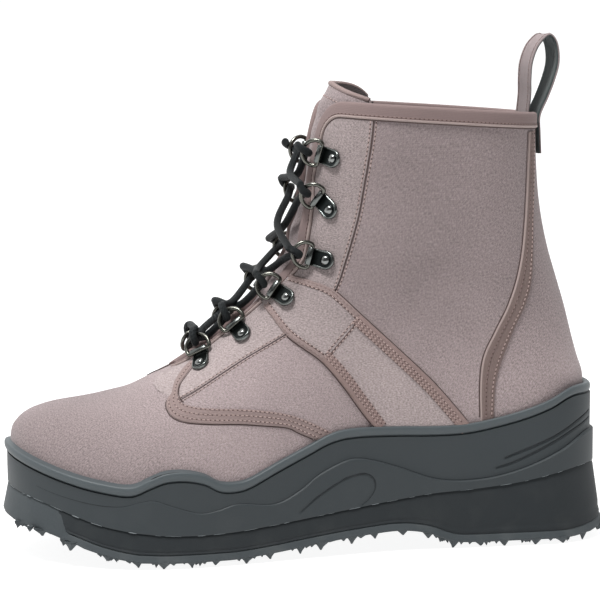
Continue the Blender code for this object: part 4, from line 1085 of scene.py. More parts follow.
def make_binding(name, side, rings, angles, width):
    ahead = unit(np.gradient(bare_skin(rings, angles), axis=0))
    inward = unit(np.cross(skin_normal(rings, angles), ahead) * side)
    name = "%s_%s" % (name, SIDE_NAMES[side])
    loops = [skin(*moved(rings, angles, inward, distance), offset)
             for distance, offset in binding_section(width)]
    swept(name, np.stack(loops, 1), [BINDING, PIPING], (name,),
          finish_of=lambda c: (c >= 1) & (c <= 3))
    place = moved(rings, angles, inward, width - 1.9 * MM)
    stitch_row(side, skin(*place, BINDING_THICKNESS), skin_normal(*place), False)
    # painted shadow at the foot of the binding's edge
    place = moved(rings, angles, inward, width + 0.25 * MM)
    shadow_strip(name + "_foot", skin(*place, EYESTAY_THICKNESS), skin_normal(*place), 0.7 * MM)


def make_bindings(side):
    """Binding round the collar and down the throat to the strap, and below the strap."""
    angles = np.linspace(0, edge_angle(1.0, side), 400)
    widths = np.abs(bare_skin(1.0, angles)[:, 1])
    begin = np.interp(LOOP_WIDTH / 2 + 0.4 * MM, widths[:150], angles[:150])
    collar = np.linspace(begin, edge_angle(1.0, side), 120)
    down = 1 - (1 - STRAP_TOP + 0.035) * np.linspace(0, 1, 110)[1:] ** 1.35
    path = np.stack([np.concatenate([np.ones(120), down]),
                     np.concatenate([collar, edge_angles(down, side)])], -1)
    path = evenly(bare_skin(*path.T), None, path, count=230)[1]
    make_binding("collar_binding", side, *path.T, BINDING_WIDTH)
    rings = np.linspace(STRAP_FOOT + 0.03, BINDING_END, 90)
    make_binding("eyestay_binding", side, rings, edge_angles(rings, side), EYESTAY_BINDING_WIDTH)


# Tongue; values for the outer half are under 1, for the inner half under -1
TONGUE_DEPTH = 5.1 * MM
TONGUE_THICKNESS = 3 * MM
TONGUE_START = 0.34
TONGUE_TOP = 1.042
TONGUE_HALF_LOW = 16 * MM
TONGUE_HALF_HIGH = {1: 41 * MM, -1: 58 * MM}
TONGUE_CORNER = {1: 0.030, -1: 0.036}
TONGUE_BEND = {1: 1.1, -1: 7.0}


def tongue_place(share, across):
    """Ring and angle on the tongue, which droops on its outer half and stands up on its inner half."""
    hand = 1 if across >= 0 else -1
    half = TONGUE_HALF_LOW + (TONGUE_HALF_HIGH[hand] - TONGUE_HALF_LOW) * smooth(share * 1.6)
    top = TONGUE_TOP - TONGUE_CORNER[hand] * abs(across) ** TONGUE_BEND[hand]
    ring = TONGUE_START + share * (top - TONGUE_START)
    return ring, angle_from_ridge(ring, hand, abs(across) * half)


def make_tongue():
    """Wide padded tongue: canvas outside, dark lining inside, rounded rim, stitched near its top."""
    shares = np.concatenate([np.linspace(0, 0.9, 60), np.linspace(0.905, 1, 14)])[:, None]
    acrosses = np.linspace(-1, 1, 81)
    place = np.array([[tongue_place(share, across) for across in acrosses] for share in shares[:, 0]])
    ring, angle = place[..., 0], place[..., 1]
    edge = np.minimum(1 - np.abs(acrosses), 8 * (1 - shares))
    puff = 0.9 * MM * smooth(edge / 0.16)
    ripple = 0.35 * MM * np.sin(ring * 95) * smooth(edge / 0.3)
    # it swells forward between the throat's edges, most above the lace
    away = np.abs(acrosses) * (TONGUE_HALF_LOW + 24 * MM * smooth(shares * 1.6))
    level = 2.6 + 1.7 * smooth((ring - 0.86) / 0.06) - 3.5 * smooth((ring - 0.985) / 0.05)
    swell = level * MM * np.exp(-(away / (9 * MM)) ** 2) * smooth((ring - 0.42) / 0.08)
    outer = skin(ring, angle, -TONGUE_DEPTH - 0.6 * MM + puff + ripple + swell)
    inner = skin(ring, angle, -TONGUE_DEPTH - TONGUE_THICKNESS + 0.3 * MM - 0.5 * puff + swell)
    count = len(acrosses)
    swept("tongue", np.concatenate([outer, inner[:, ::-1]], 1), [CANVAS, LINING], ("tongue",),
          finish_of=lambda c: c >= count - 1, sharp=60)
    rim = skin(ring[-1], angle[-1], -TONGUE_DEPTH - 0.5 * TONGUE_THICKNESS + 0.4 * MM + swell[-1])
    swept("tongue_rim", tube_loops(rim[2:-2], 1.3 * MM, 14), HEM)
    row = -6, slice(6, -6)
    stitch_row(1, outer[row], skin_normal(ring[row], angle[row]), pitch=2.8 * MM)


# Pull loop
LOOP_THICKNESS = 1.6 * MM
LOOP_DEPTH = 15 * MM
LOOP_RISE = 42 * MM
LOOP_TAIL = 20 * MM
LOOP_LINE = [
    (0.24, 0.26), (0.24, 0.45), (0.2, 0.65), (0.02, 0.84), (-0.24, 0.96), (-0.46, 1.0), (-0.66, 0.92),
    (-0.75, 0.78), (-0.74, 0.62), (-0.58, 0.42), (-0.36, 0.22),
]


def make_pull_loop():
    """A ribbon up from inside the collar, over and down the back, with a dark inner face."""
    collar_z = float(above_seat(COLLAR_BACK))
    collar_x = float(back_x(collar_z))
    inside = collar_x + UPPER_WALL + LOOP_THICKNESS / 2 + 1.6 * MM
    behind = collar_x - LOOP_THICKNESS / 2 - CURVED_GAP
    tail_z = collar_z - LOOP_TAIL
    line = [(inside, tail_z), (inside, collar_z - 0.4 * LOOP_TAIL), (inside, collar_z)]
    line += [(collar_x + dx * LOOP_DEPTH, collar_z + dz * LOOP_RISE) for dx, dz in LOOP_LINE]
    line += [(behind, collar_z), (behind, collar_z - 0.4 * LOOP_TAIL),
             (float(back_x(tail_z)) - LOOP_THICKNESS / 2 - CURVED_GAP, tail_z)]
    x, z = dense(line, 220)
    points = np.stack([x, 0 * x, z], -1)
    ahead = unit(np.gradient(points, axis=0))
    normal = np.stack([-ahead[:, 2], 0 * x, ahead[:, 0]], -1)
    half = LOOP_WIDTH / 2
    for name, low, high, finish, width, stands_for in (
            ("pull_loop", -0.05 * MM, -0.8 * MM, WEBBING, half, ("pull_loop",)),
            ("pull_loop_lining", -0.04 * MM, 0.8 * MM, WEBBING_INSIDE, half - 1.0 * MM, ())):
        section = [(-width, low), (-width, 0.75 * high), (-width + 0.5 * MM, high),
                   (-width + 2.2 * MM, high), (-width + 2.6 * MM, 0.8 * high), (0, 0.8 * high)]
        section += [(-a, b) for a, b in section[-2::-1]]
        swept(name, ribbon_loops(points, normal, section), finish, stands_for)
    for hand in (-1, 1):
        edge = points + np.array([0, hand * (half - 2.5 * MM), 0]) - normal * 0.78 * MM
        stitch_row(hand, edge[8:-8], -normal[8:-8], False)


# Sole
def drawn_in(*shares):
    """Insets at the sides, heel and toe, from shares of the sidewall's thickness."""
    return np.array(shares) * SIDEWALL_THICKNESS


TREAD_EDGE = drawn_in(0.00, 0.00, 0.00)
WEDGE_LOW = drawn_in(0.25, 0.35, 0.20)
WEDGE_HIGH = drawn_in(0.45, 1.35, 0.60)
SIDE_LOW = drawn_in(0.35, 1.30, 0.55)
SIDE_FACE = drawn_in(0.55, 1.68, 0.50)
GROOVE = drawn_in(0.75, 1.90, 0.70)
BEAD = drawn_in(0.40, 1.72, 0.22)
RIM_CREST = drawn_in(0.72, 2.16, 0.55)
GROOVE_HEIGHT = 1.0 * MM
STEP_DEPTH = 1.8 * MM
STEP_END = 0.86
# Heights of the step: share of SOLE_LENGTH, height as a share of SEAT_HEIGHT
STEP_LINE = [
    (0.0, 1.27), (0.03, 1.36), (0.055, 1.36), (0.105, 1.175), (0.176, 0.962), (0.243, 0.86),
    (0.311, 0.88), (0.377, 1.052), (0.411, 1.138), (0.444, 1.19), (0.47, 1.167), (0.511, 1.026),
    (0.545, 0.838), (0.586, 0.705), (0.645, 0.74), (0.676, 0.686), (0.707, 0.66), (0.748, 0.75),
    (0.779, 0.83), (0.801, 0.812), (0.832, 0.76), (0.88, 0.79), (0.94, 0.9), (1.0, 1.08),
]
STEP_CURVE = dense(STEP_LINE)
# Thin lines moulded into the sidewall, in the same shares
SIDE_GROOVES = [
    [
        (0.544, 0.58), (0.519, 0.73), (0.494, 0.85), (0.469, 0.95), (0.451, 0.988), (0.433, 0.993),
        (0.421, 0.926), (0.42, 0.81), (0.43, 0.69), (0.443, 0.61),
    ],
    [
        (0.2, 1.11), (0.159, 1.226), (0.116, 1.355), (0.07, 1.52), (0.04, 1.61),
    ],
    [
        (0.215, 0.99), (0.183, 1.06), (0.133, 1.23), (0.09, 1.38), (0.065, 1.455), (0.04, 1.52),
    ],
]
FRONT_GROOVES = [
    [
        (0.79, 1.055), (0.775, 1.12), (0.757, 1.155), (0.74, 1.165),
    ],
]
SIDEWALL_TURNS = 720
SIDE_GROOVE_WIDTH = 0.40 * MM
SIDE_GROOVE_DEPTH = 0.45 * MM


def sole_ring(insets, height, turn):
    """An outline of the sole, drawn in from its largest by three distances."""
    inset, heel_in, toe_in = insets
    wrapped = half_turn(turn)
    s = (1 - np.cos(wrapped)) / 2
    x = HEEL_X + heel_in + s * (SOLE_LENGTH - heel_in - toe_in)
    axis, outer, inner = plan(s, inset)
    return np.stack([x, axis + np.where(wrapped < 0, -inner, outer), height(x)], -1)


def step_line(x):
    return np.interp((x - HEEL_X) / SOLE_LENGTH, STEP_CURVE[0], STEP_CURVE[1]) * SEAT_HEIGHT


def step_depth(x):
    share = np.clip((x - HEEL_X) / SOLE_LENGTH / STEP_END, 0, 1)
    return STEP_DEPTH * (1 - share) ** 0.7


def across_level(ahead):
    """Level directions to the right of some directions."""
    return unit(np.stack([ahead[:, 1], -ahead[:, 0], 0 * ahead[:, 0]], -1))


def outward(ring):
    """Level directions out of an outline."""
    out = across_level(np.roll(ring, -1, axis=0) - np.roll(ring, 1, axis=0))
    return -out if ((ring - ring.mean(0)) * out).sum() < 0 else out


def even_turn(count):
    """Turns round the sole at an even distance from each other."""
    fine = np.linspace(0, 2 * math.pi, 4000)
    run = run_along(sole_ring(SIDE_FACE, step_line, fine)[:, :2])
    return np.interp(np.linspace(0, run[-1], count, endpoint=False), run, fine)


def mixed(low, high, count, last=False):
    return [low + (high - low) * t for t in np.linspace(0, 1, count, endpoint=last)]


def capped(name, loops, finish, sharp=38, finish_of=None):
    """Closed outlines joined in turn, the first and last closed by strips across them."""
    rows, columns = np.asarray(loops).shape[:2]
    faces = joined(rows, columns)
    sides = len(faces)
    for base in (0, (rows - 1) * columns):
        for j in range(columns // 2):
            corners = [j, j + 1, (columns - j - 1) % columns, (columns - j) % columns]
            faces.append([base + corner for corner in dict.fromkeys(corners)])
    made = piece(name, loops, faces, finish, None, (name,), sharp)
    if finish_of:
        paint(made, finish_of(np.arange(sides) // columns))


def make_sidewall():
    """Sidewall with its bead, lighter as a painted highlight on its top, dark groove, sweeping step and thin
    moulded lines.
    """
    turn = even_turn(SIDEWALL_TURNS)
    below_bead = BEAD_HEIGHT + GROOVE_HEIGHT
    low = sole_ring(SIDE_LOW, wedge_line, turn)
    face = sole_ring(SIDE_FACE, step_line, turn)
    out = outward(face)
    depth = step_depth(face[:, :1])
    proud = face + out * depth - 0.55 * MM * UP
    crest = proud + 0.3 * MM * UP - out * 0.25 * MM * np.minimum(1, depth / (0.5 * MM))
    high = sole_ring(SIDE_FACE, lambda x: rim_line(x) - below_bead, turn)
    lip = low + out * 0.1 * MM + 0.5 * MM * UP
    rows = [low, lip] + mixed(lip, proud, 26)[1:] + [proud, crest]
    rows = np.array(rows + mixed(face + 0.05 * MM * UP, high, 52, True))
    for groove in SIDE_GROOVES:
        near = np.full(rows.shape[:2], 1.0)
        for x, z in sole_side_line(groove):
            near = np.minimum(near, np.hypot(rows[..., 0] - x, rows[..., 2] - z))
        rows = rows - out * (SIDE_GROOVE_DEPTH * np.exp(-0.5 * (near / SIDE_GROOVE_WIDTH) ** 2))[..., None]
    loops = list(rows)
    bead_begins = len(loops) + 1
    for share in (0.35, 0.75):
        loops.append(sole_ring(GROOVE, lambda x: rim_line(x) - below_bead + share * GROOVE_HEIGHT, turn))
    for t in np.linspace(0.04, 1, 11):
        sweep = math.pi * t
        bulge = math.sin(sweep) ** 0.6 if t < 1 else 0.0
        base = GROOVE * (1 - t) + RIM_CREST * t
        rise = BEAD_HEIGHT * (0.5 - 0.5 * math.cos(sweep))
        insets = base + (BEAD - base) * bulge
        loops.append(sole_ring(insets, lambda x: rim_line(x) - BEAD_HEIGHT + rise, turn))
    for level, offset in ((0.004, -0.1 * MM), (-0.05, 0.05 * MM), (-0.5, 0.2 * MM), (-1.0, 0.2 * MM)):
        loops.append(skin(level, turn, offset))
    loops[-1][:, 2] = bed_line(loops[-1][:, 0])
    # the bead gets the lighter rubber, a painted highlight
    capped("sidewall", loops, [RUBBER, BEAD_RUBBER_LIT], 40, lambda r: r >= bead_begins)
    make_flash(low, out)
    # painted shadow along the foot of each thin line, on both sides, and under the step's sweep towards the
    # toe
    sweep = at_share(np.linspace(0.045, 0.955, 300))
    above = 0.35 * MM * step_depth(sweep) / STEP_DEPTH - 0.1 * MM
    lines = [even_line(sole_side_line(rows), 120) for rows in SIDE_GROOVES + FRONT_GROOVES]
    lines.append(np.stack([sweep, step_line(sweep) + above], -1))
    for hand, label in SIDE_NAMES.items():
        for number, line in enumerate(lines):
            points, normals = wall_places(hand, line)
            width = np.interp(np.linspace(0, 1, len(line)), [0, 0.2, 0.8, 1], [0.1, 0.55, 0.55, 0.1]) * MM
            aside = 0.5 * width[:, None] * frames_along(points, normals)[1]
            grid = np.stack([points - aside, points, points + aside], 1) + 0.06 * MM * normals[:, None]
            grid_sheet("sidewall_line_%s_%d" % (label, number), grid, GROOVE_SHADOW,
                       thickness=0.3 * MM)


def sole_side_line(rows):
    share, level = dense(rows, 160)
    return np.stack([at_share(share), level * SEAT_HEIGHT], -1)


def wall_places(hand, line):
    """Points on the sidewall's outer face and their level normals, from side view places."""
    x, z = line.T
    heel_in, toe_in = SIDE_FACE[1:]
    s = np.clip((x - HEEL_X - heel_in) / (SOLE_LENGTH - heel_in - toe_in), 0.0005, 0.9995)
    turn = hand * np.arccos(1 - 2 * s)
    face = sole_ring(SIDE_FACE, step_line, turn)
    face[:, 2] = z
    low = sole_ring(SIDE_LOW, wedge_line, turn)
    before, after = (sole_ring(SIDE_FACE, wedge_line, turn + step) for step in (-0.01, 0.01))
    out = across_level(after - before)
    out *= np.sign(out[:, 1:2]) * hand
    step = step_line(x)
    share = np.clip((z - low[:, 2]) / np.maximum(step - low[:, 2], 1 * MM), 0, 1)[:, None]
    lower = low + share * (face + out * step_depth(x)[:, None] - low)
    lower[:, 2] = z
    return np.where((z < step - 0.3 * MM)[:, None], lower, face), out


def make_flash(line, out):
    """Short beads of moulding flash along the join of sidewall and wedge, pale as painted glints."""
    rows, faces = capsule(1.0, 1.0, 5)
    heap = Heap()
    i = 0
    while i < len(line) - 12:
        length = int(RANDOM.integers(2, 9))
        gap = int(RANDOM.integers(2, 16))
        a, b = line[i], line[i + length]
        radius = RANDOM.choice([0.08, 0.11, 0.15, 0.26], p=[0.4, 0.3, 0.2, 0.1]) * MM
        span = np.linalg.norm(b - a)
        ahead = (b - a) / span
        turned = rows * np.array([span, radius, radius]) @ np.array([ahead, out[i], np.cross(out[i], ahead)])
        heap.add(0.5 * (a + b) + out[i] * 0.1 * MM + turned, faces)
        i += length + gap
    piece("moulding_flash", heap.corners, heap.faces, FLASH_GLINT, sharp=80)


BUMPER_X = HEEL_X + 0.913 * SOLE_LENGTH
BUMPER_SLANT = 4.5 * MM
SOLE_TURNS = 420


def make_wedge():
    """Foam wedge and heel, cut off behind the toe bumper, with a soft line above its foot."""
    turn = even_turn(SOLE_TURNS)
    low = sole_ring(WEDGE_LOW, lambda x: tread_line(x) + TREAD_THICKNESS + 0.1 * MM, turn)
    high = sole_ring(WEDGE_HIGH, lambda x: wedge_line(x) - 0.1 * MM, turn)
    out = outward(low)
    loops = []
    for t in np.concatenate([[0, 0.05, 0.10, 0.14, 0.18, 0.24], np.linspace(0.3, 0.92, 9), [0.97, 1.0]]):
        dent = 0.35 * MM * math.exp(-0.5 * ((t - 0.14) / 0.035) ** 2)
        edge = 0.5 * MM * (max(0, 1 - t / 0.05) + max(0, (t - 0.94) / 0.06))
        ring = low + (high - low) * t - out * (dent + edge)
        ring[:, 0] = np.minimum(ring[:, 0], BUMPER_X + t * BUMPER_SLANT - 0.3 * MM)
        loops.append(ring)
    capped("wedge", loops, FOAM)


CLEAT_HEIGHT = 3 * MM
CLEAT_RADIUS = 4.2 * MM
CLEAT_PITCH = 21 * MM
CLEAT_EDGE = 7.5 * MM
ARCH = (0.345, 0.585)
# Teeth along the edge: shares of SOLE_LENGTH from one to the next and from side to side
TEETH_PITCH, TEETH_STAGGER = 0.044, 0.009
TEETH_INSET = 3.2 * MM
SMALL_STUD_PITCH = (10.5 * MM, 11 * MM)
PAD_LENGTH = 18 * MM
PAD_WIDTH = 30 * MM
PAD_PLACES = (0.0, 0.726 * SOLE_LENGTH + HEEL_X)


def on_pad(x, y, clear):
    near = min(abs(x - place) for place in PAD_PLACES) < PAD_LENGTH / 2 + clear
    return near and abs(y) < PAD_WIDTH / 2 + clear


def stud(x, y, turn, radius, height):
    """A crown stud: a round foot and five leaning points. Corners and faces, tip downwards."""
    base = float(tread_line(x))
    tip = max(base - height, 0.0)
    points, count = 5, 10

    def corner(reach, angle, level):
        return x + reach * math.cos(angle), y + reach * math.sin(angle), level

    corners = [corner(radius * share * (0.62 if j % 2 else 1.0), turn + math.pi * j / points, level)
               for share, level in ((1.0, base + 1.0 * MM), (0.96, base - 0.2 * MM),
                                    (0.80, base - 0.35 * (base - tip)))
               for j in range(count)]
    corners += [corner(0.62 * radius, turn + 2 * math.pi * j / points, tip + (base - tip) * 0.30 * (j % 2))
                for j in range(points)]
    corners.append((x, y, base - 0.45 * (base - tip)))
    faces = joined(3, count)
    last, tips, centre = 2 * count, 3 * count, 3 * count + points
    for j in range(points):
        left, middle, right = last + (2 * j - 1) % count, last + 2 * j, last + (2 * j + 1) % count
        faces += [(left, middle, tips + j), (middle, right, tips + j), (right, centre, tips + j),
                  (centre, left, tips + j)]
    return corners, faces + [range(count)]


def tooth(x, y, size, height):
    """A broad, broken lug at the tread's edge: an uneven foot drawn down to one or two points."""
    base = float(tread_line(x))
    tip = max(base - height, 0.0)
    sides = 7
    turns = circle(sides) + RANDOM.uniform(0, 1)
    reach = size * RANDOM.uniform(0.7, 1.15, sides)
    lean = RANDOM.uniform(-0.35, 0.35) * size
    corners = []
    levels = ((1.0, base + 1.0 * MM), (0.92, base), (0.42, 0.45 * base + 0.55 * tip), (0.12, tip))
    for share, level in levels:
        wobble = RANDOM.uniform(0.85, 1.15, sides)
        corners += [(x + lean * (1 - share) + share * w * r * math.cos(t),
                     y + share * w * r * math.sin(t), level) for t, r, w in zip(turns, reach, wobble)]
    return corners, joined(4, sides) + [range(sides), range(3 * sides, 4 * sides)]


def make_tread():
    """Grip sheet and toe bumper."""
    turn = even_turn(SOLE_TURNS)
    low = sole_ring(TREAD_EDGE, tread_line, turn)
    top = sole_ring(WEDGE_LOW, lambda x: tread_line(x) + TREAD_THICKNESS, turn)
    raised = sole_ring(WEDGE_HIGH, lambda x: wedge_line(x) - 0.1 * MM, turn)
    ahead = smooth((low[:, :1] - BUMPER_X) / BUMPER_SLANT)
    knots = np.arange(0, SOLE_TURNS + 1, 3)
    rough = 0.35 * MM * np.interp(np.arange(SOLE_TURNS), knots, RANDOM.normal(0, 1, len(knots)))
    low[:, 2] -= np.maximum(rough, 0) * 0.8 * (low[:, 2] > CLEAT_HEIGHT + 0.5 * MM)
    out = outward(low)
    loops = [low - out * 1.0 * MM, low - out * 0.25 * MM + 0.25 * MM * UP, low + 0.9 * MM * UP]
    high = top + (raised - top) * ahead
    loops += mixed(loops[-1], high - 0.5 * MM * UP, 9, True)[1:]
    loops.append(high - out * 0.5 * MM)
    capped("tread", loops, TREAD)


def make_cleats():
    """Crown studs, broken teeth along the edge, small studs between them and the resting pads."""
    heap = Heap()
    rows = int((SOLE_LENGTH - 2 * CLEAT_EDGE) / CLEAT_PITCH)
    for i in range(rows + 1):
        share = (CLEAT_EDGE + i * (SOLE_LENGTH - 2 * CLEAT_EDGE) / rows) / SOLE_LENGTH
        if ARCH[0] < share < ARCH[1]:
            continue
        x = HEEL_X + share * SOLE_LENGTH
        axis, outer, inner = plan(share, CLEAT_EDGE)
        across = max(2, 1 + round((outer + inner) / (CLEAT_PITCH * 1.25)))
        for j in range(across):
            y = axis - inner + j * (outer + inner) / (across - 1)
            if not on_pad(x, y, CLEAT_RADIUS):
                heap.add(*stud(x, y, i * 1.1 + j * 0.7, CLEAT_RADIUS, CLEAT_HEIGHT))
    for share in np.arange(0.02, 0.985, TEETH_PITCH):
        for hand in (1, -1):
            here = share + (0 if hand > 0 else -TEETH_STAGGER) + RANDOM.uniform(-0.006, 0.006)
            axis, outer, inner = plan(here, TEETH_INSET)
            y = axis + (outer if hand > 0 else -inner)
            size = RANDOM.uniform(2.6, 4.2) * MM
            x = HEEL_X + here * SOLE_LENGTH
            heap.add(*tooth(x, y, size, RANDOM.uniform(2.4, 4.0) * MM))
            for aside in (-1.2, 1.3):
                if RANDOM.uniform() < 0.5:
                    heap.add(*tooth(x + size * aside, y, 0.6 * size, RANDOM.uniform(0.8, 1.8) * MM))
    for x in np.arange(HEEL_X + 14 * MM, HEEL_X + SOLE_LENGTH - 10 * MM, SMALL_STUD_PITCH[0]):
        axis, outer, inner = plan((x - HEEL_X) / SOLE_LENGTH, CLEAT_EDGE + 4 * MM)
        for y in np.arange(axis - inner, axis + outer, SMALL_STUD_PITCH[1]):
            if not on_pad(x, y, 2 * MM):
                dx, dy = RANDOM.uniform(-2, 2, 2) * MM
                turn = RANDOM.uniform(0, 6)
                heap.add(*stud(x + dx, y + dy, turn, RANDOM.uniform(1.4, 2.2) * MM, 1.6 * MM))
    for x in PAD_PLACES:
        block = [(x + a * PAD_LENGTH / 2, b * PAD_WIDTH / 2, c) for c in (0.0, tread_line(x) + 1 * MM)
                 for a, b in ((-1, -1), (1, -1), (1, 1), (-1, 1))]
        heap.add(block, [(0, 1, 2, 3), (7, 6, 5, 4), (0, 1, 5, 4), (1, 2, 6, 5), (2, 3, 7, 6), (3, 0, 4, 7)])
    piece("cleats", heap.corners, heap.faces, TREAD, sharp=25)


# Dish of the insole: inset as a share of the way to the middle, height above the bed in mm
INSOLE_LEVELS = [(0.0, 0.3), (0.0, 3.0), (0.008, 3.9), (0.03, 4.3), (0.12, 4.2), (0.35, 3.4), (0.6, 3.1)]
INSOLE_TURNS = 240


def make_insole():
    """Fabric insole with a soft dish and rounded edge."""
    ring = skin(-1.0, even_turn(INSOLE_TURNS), -(UPPER_WALL + 0.5 * MM))
    middle = ring.mean(0)
    loops = []
    for inset, rise in INSOLE_LEVELS:
        loop = ring + (middle - ring) * np.array([inset * 0.5, inset, 0])
        loop[:, 2] = bed_line(loop[:, 0]) + rise * MM
        loops.append(loop)
    capped("insole", loops, INSOLE)


# Lace hardware: ring of the bar's middle, its distance behind the throat's edge in mm, turn of
# the plate in degrees, and 1 where it sits on the ankle strap
EYELETS = [
    (0.897, 9.6, -12, 0), (0.806, 11.4, -40, 0), (0.685, 11.5, -16, 0), (0.602, 8.5, -27, 1),
    (0.508, 7.6, -32, 0), (0.422, 7.4, -50, 0),
]
OVERLAY_THICKNESS = 1.0 * MM
PLATE_THICKNESS = 0.8 * MM
PLATE_HALF = 4.8 * MM
RIVET_REACH = 8 * MM
WIRE_RADIUS = 1.1 * MM
CURL_GAP = 0.35 * MM
RING_HALF = 6.3 * MM
RING_DEPTH = 9 * MM
RING_TILT = math.radians(36)
BAR_HEIGHT = PLATE_THICKNESS + WIRE_RADIUS + CURL_GAP
LACE_RADIUS = 1.95 * MM


def eyelet_frame(row, side):
    """Matrix of an eyelet: X from bar to rivet, Y along the bar, Z out of the skin."""
    ring, behind, turn, on_strap = row
    angle = angle_from_ridge(ring, side, throat_half(ring) + behind * MM)
    normal = Vector(skin_normal(ring, angle))
    away = Vector(-side * skin_slopes(np.array(ring), np.array(angle))[0]).normalized()
    away = Matrix.Rotation(math.radians(turn) * side, 3, normal) @ away
    away = (away - away.dot(normal) * normal).normalized()
    seat = CURVED_GAP + (OVERLAY_THICKNESS + CURVED_GAP if on_strap else 0.0)
    matrix = Matrix((away, normal.cross(away), normal)).transposed().to_4x4()
    matrix.translation = Vector(bare_skin(ring, angle) + seat * skin_normal(ring, angle))
    return matrix


def ring_frame(matrix):
    return matrix @ Matrix.Translation((0, 0, BAR_HEIGHT)) @ Matrix.Rotation(RING_TILT, 4, "Y")


def placed(matrix, points):
    return np.asarray(points) @ np.array(matrix.to_3x3()).T + np.array(matrix.translation)


def clip_outline(inset):
    """Rounded plate outline from the curl round the rivet and back, drawn in by a distance."""
    half, end = PLATE_HALF - inset, PLATE_HALF + RIVET_REACH - inset
    waist = half - 0.2 * MM
    arc = [(RIVET_REACH + (end - RIVET_REACH) * math.cos(t), half * math.sin(t))
           for t in np.linspace(math.pi / 2, -math.pi / 2, 14)]
    near = [(-0.2 * MM, waist), (2.0 * MM, waist), (4.5 * MM, 0.5 * (waist + half))]
    return near + arc + [(x, -y) for x, y in near[::-1]]


# Sections of a clip in mm: inset and height of the plate's border, and radius and height of the
# rivet's domed head in its dished ring. A height above 0 of the plate is a share of its thickness.
PLATE_LEVELS = [(0.0, -0.55 * MM), (0.0, 0.55), (0.3, 1.05), (0.65, 1.2), (1.0, 1.05), (1.25, 0.55),
                (2.0, 0.5)]
RIVET_LEVELS = [(2.55, 0.3), (2.55, 0.7), (2.45, 1.1), (2.2, 1.5), (1.8, 1.85), (1.3, 2.1), (0.8, 2.25),
                (0.4, 2.3), (0.12, 2.31)]


def make_clip(name, matrix):
    """Plate with a raised border, curled over the ring's bar, and its domed rivet."""
    loops = []
    for inset, level in PLATE_LEVELS:
        height = level if level < 0 else level * PLATE_THICKNESS
        loops.append(placed(matrix, [(x, y, height) for x, y in clip_outline(inset * MM)]))
    made = swept(name, loops, [GUNMETAL, GUNMETAL_DEEP], (name,), sharp=50)
    # the sunk middle of the plate takes the darker gunmetal
    count, total = len(loops[0]), len(made.data.polygons)
    paint(made, [4 * count <= index and index != total - 2 for index in range(total)])
    # the curl over the bar
    curl_in, curl_out = WIRE_RADIUS + 0.15 * MM, WIRE_RADIUS + 0.95 * MM
    width = PLATE_HALF - 0.25 * MM
    section = [(curl_out, -width + 0.2 * MM), (curl_out + 0.1 * MM, 0), (curl_out, width - 0.2 * MM),
               (curl_out - 0.2 * MM, width), (curl_in, width), (curl_in, -width),
               (curl_out - 0.2 * MM, -width)]
    loops = [placed(matrix, [(r * math.cos(turn), y, BAR_HEIGHT + r * math.sin(turn)) for r, y in section])
             for turn in np.radians(range(-95, -331, -15))]
    swept(name + "_curl", loops, GUNMETAL, sharp=50)
    loops = [placed(matrix, [(RIVET_REACH + r * MM * math.cos(t), r * MM * math.sin(t), h * MM)
                             for t in circle(28)]) for r, h in RIVET_LEVELS]
    swept(name + "_rivet", loops, RIVET, sharp=50)


# Half of the D ring's outline, from the bar's middle: shares of RING_DEPTH and RING_HALF
RING_OUTLINE = [(0, 0.0), (0, 0.60), (0.0, 0.86), (0.10, 1.0), (0.30, 1.03), (0.52, 0.98), (0.76, 0.78),
                (0.93, 0.46), (1.0, 0.15)]


def make_ring(name, matrix):
    """D ring: a straight bar on Y and a rounded front towards -X."""
    outline = RING_OUTLINE + [(x, -y) for x, y in RING_OUTLINE[:0:-1]]
    outline = outline[-1:] + outline[:-1]
    wrapped = outline[-2:] + outline + outline[:3]
    curve = spline(wrapped, np.linspace(2, 2 + len(outline), 6 * len(outline), endpoint=False))
    points = np.stack([-curve[0] * RING_DEPTH, curve[1] * RING_HALF, 0 * curve[0]], -1)
    ahead = unit(np.roll(points, -1, 0) - np.roll(points, 1, 0))
    loops = round_sections(points, unit(np.cross(ahead, UP)), UP, WIRE_RADIUS, 12)
    swept(name, placed(ring_frame(matrix), loops), WIRE, (name,), closed=True, sharp=60)


def make_hardware():
    for side, label in SIDE_NAMES.items():
        for number, row in enumerate(EYELETS, 1):
            matrix = eyelet_frame(row, side)
            make_clip("clip_%s_%d" % (label, number), matrix)
            make_ring("ring_%s_%d" % (label, number), matrix)


# Lace
LACE_GAP = 0.3 * MM
HOOK_STEPS = 8
HOOK_START = RING_TILT - math.radians(90)
HOOK_END = RING_TILT + math.radians(128)
HOOK_DRIFT = 3.2 * MM
LACE_OVER = 6.4 * MM
LACE_UNDER = 2.6 * MM


def hook(number, side, from_above=False):
    """Points of the lace round the middle of a ring's front wire, and over the throat's edge."""
    row = EYELETS[number]
    tilt = ring_frame(eyelet_frame(row, side))
    reach = WIRE_RADIUS + LACE_RADIUS + LACE_GAP
    points = []
    for step in range(HOOK_STEPS + 1):
        turn = HOOK_START + (HOOK_END - HOOK_START) * step / HOOK_STEPS
        drift = side * (step / HOOK_STEPS - 0.5) * HOOK_DRIFT
        place = Vector((-RING_DEPTH + reach * math.cos(turn), drift, reach * math.sin(turn)))
        points.append(np.array(tilt @ place))
    if row[1] * MM - RING_DEPTH * math.cos(RING_TILT) > 1.5 * MM:
        ring = row[0] - 0.5 * HOOK_DRIFT / (COLLAR_RUN - RIM_RUN)
        edge = angle_from_ridge(ring, side, throat_half(ring) - 1.0 * MM)
        height = CURVED_GAP + OVERLAY_THICKNESS + LACE_RADIUS + 2 * LACE_GAP
        points.insert(0, bare_skin(ring, edge) + height * skin_normal(ring, edge))
    return points[::-1] if from_above else points


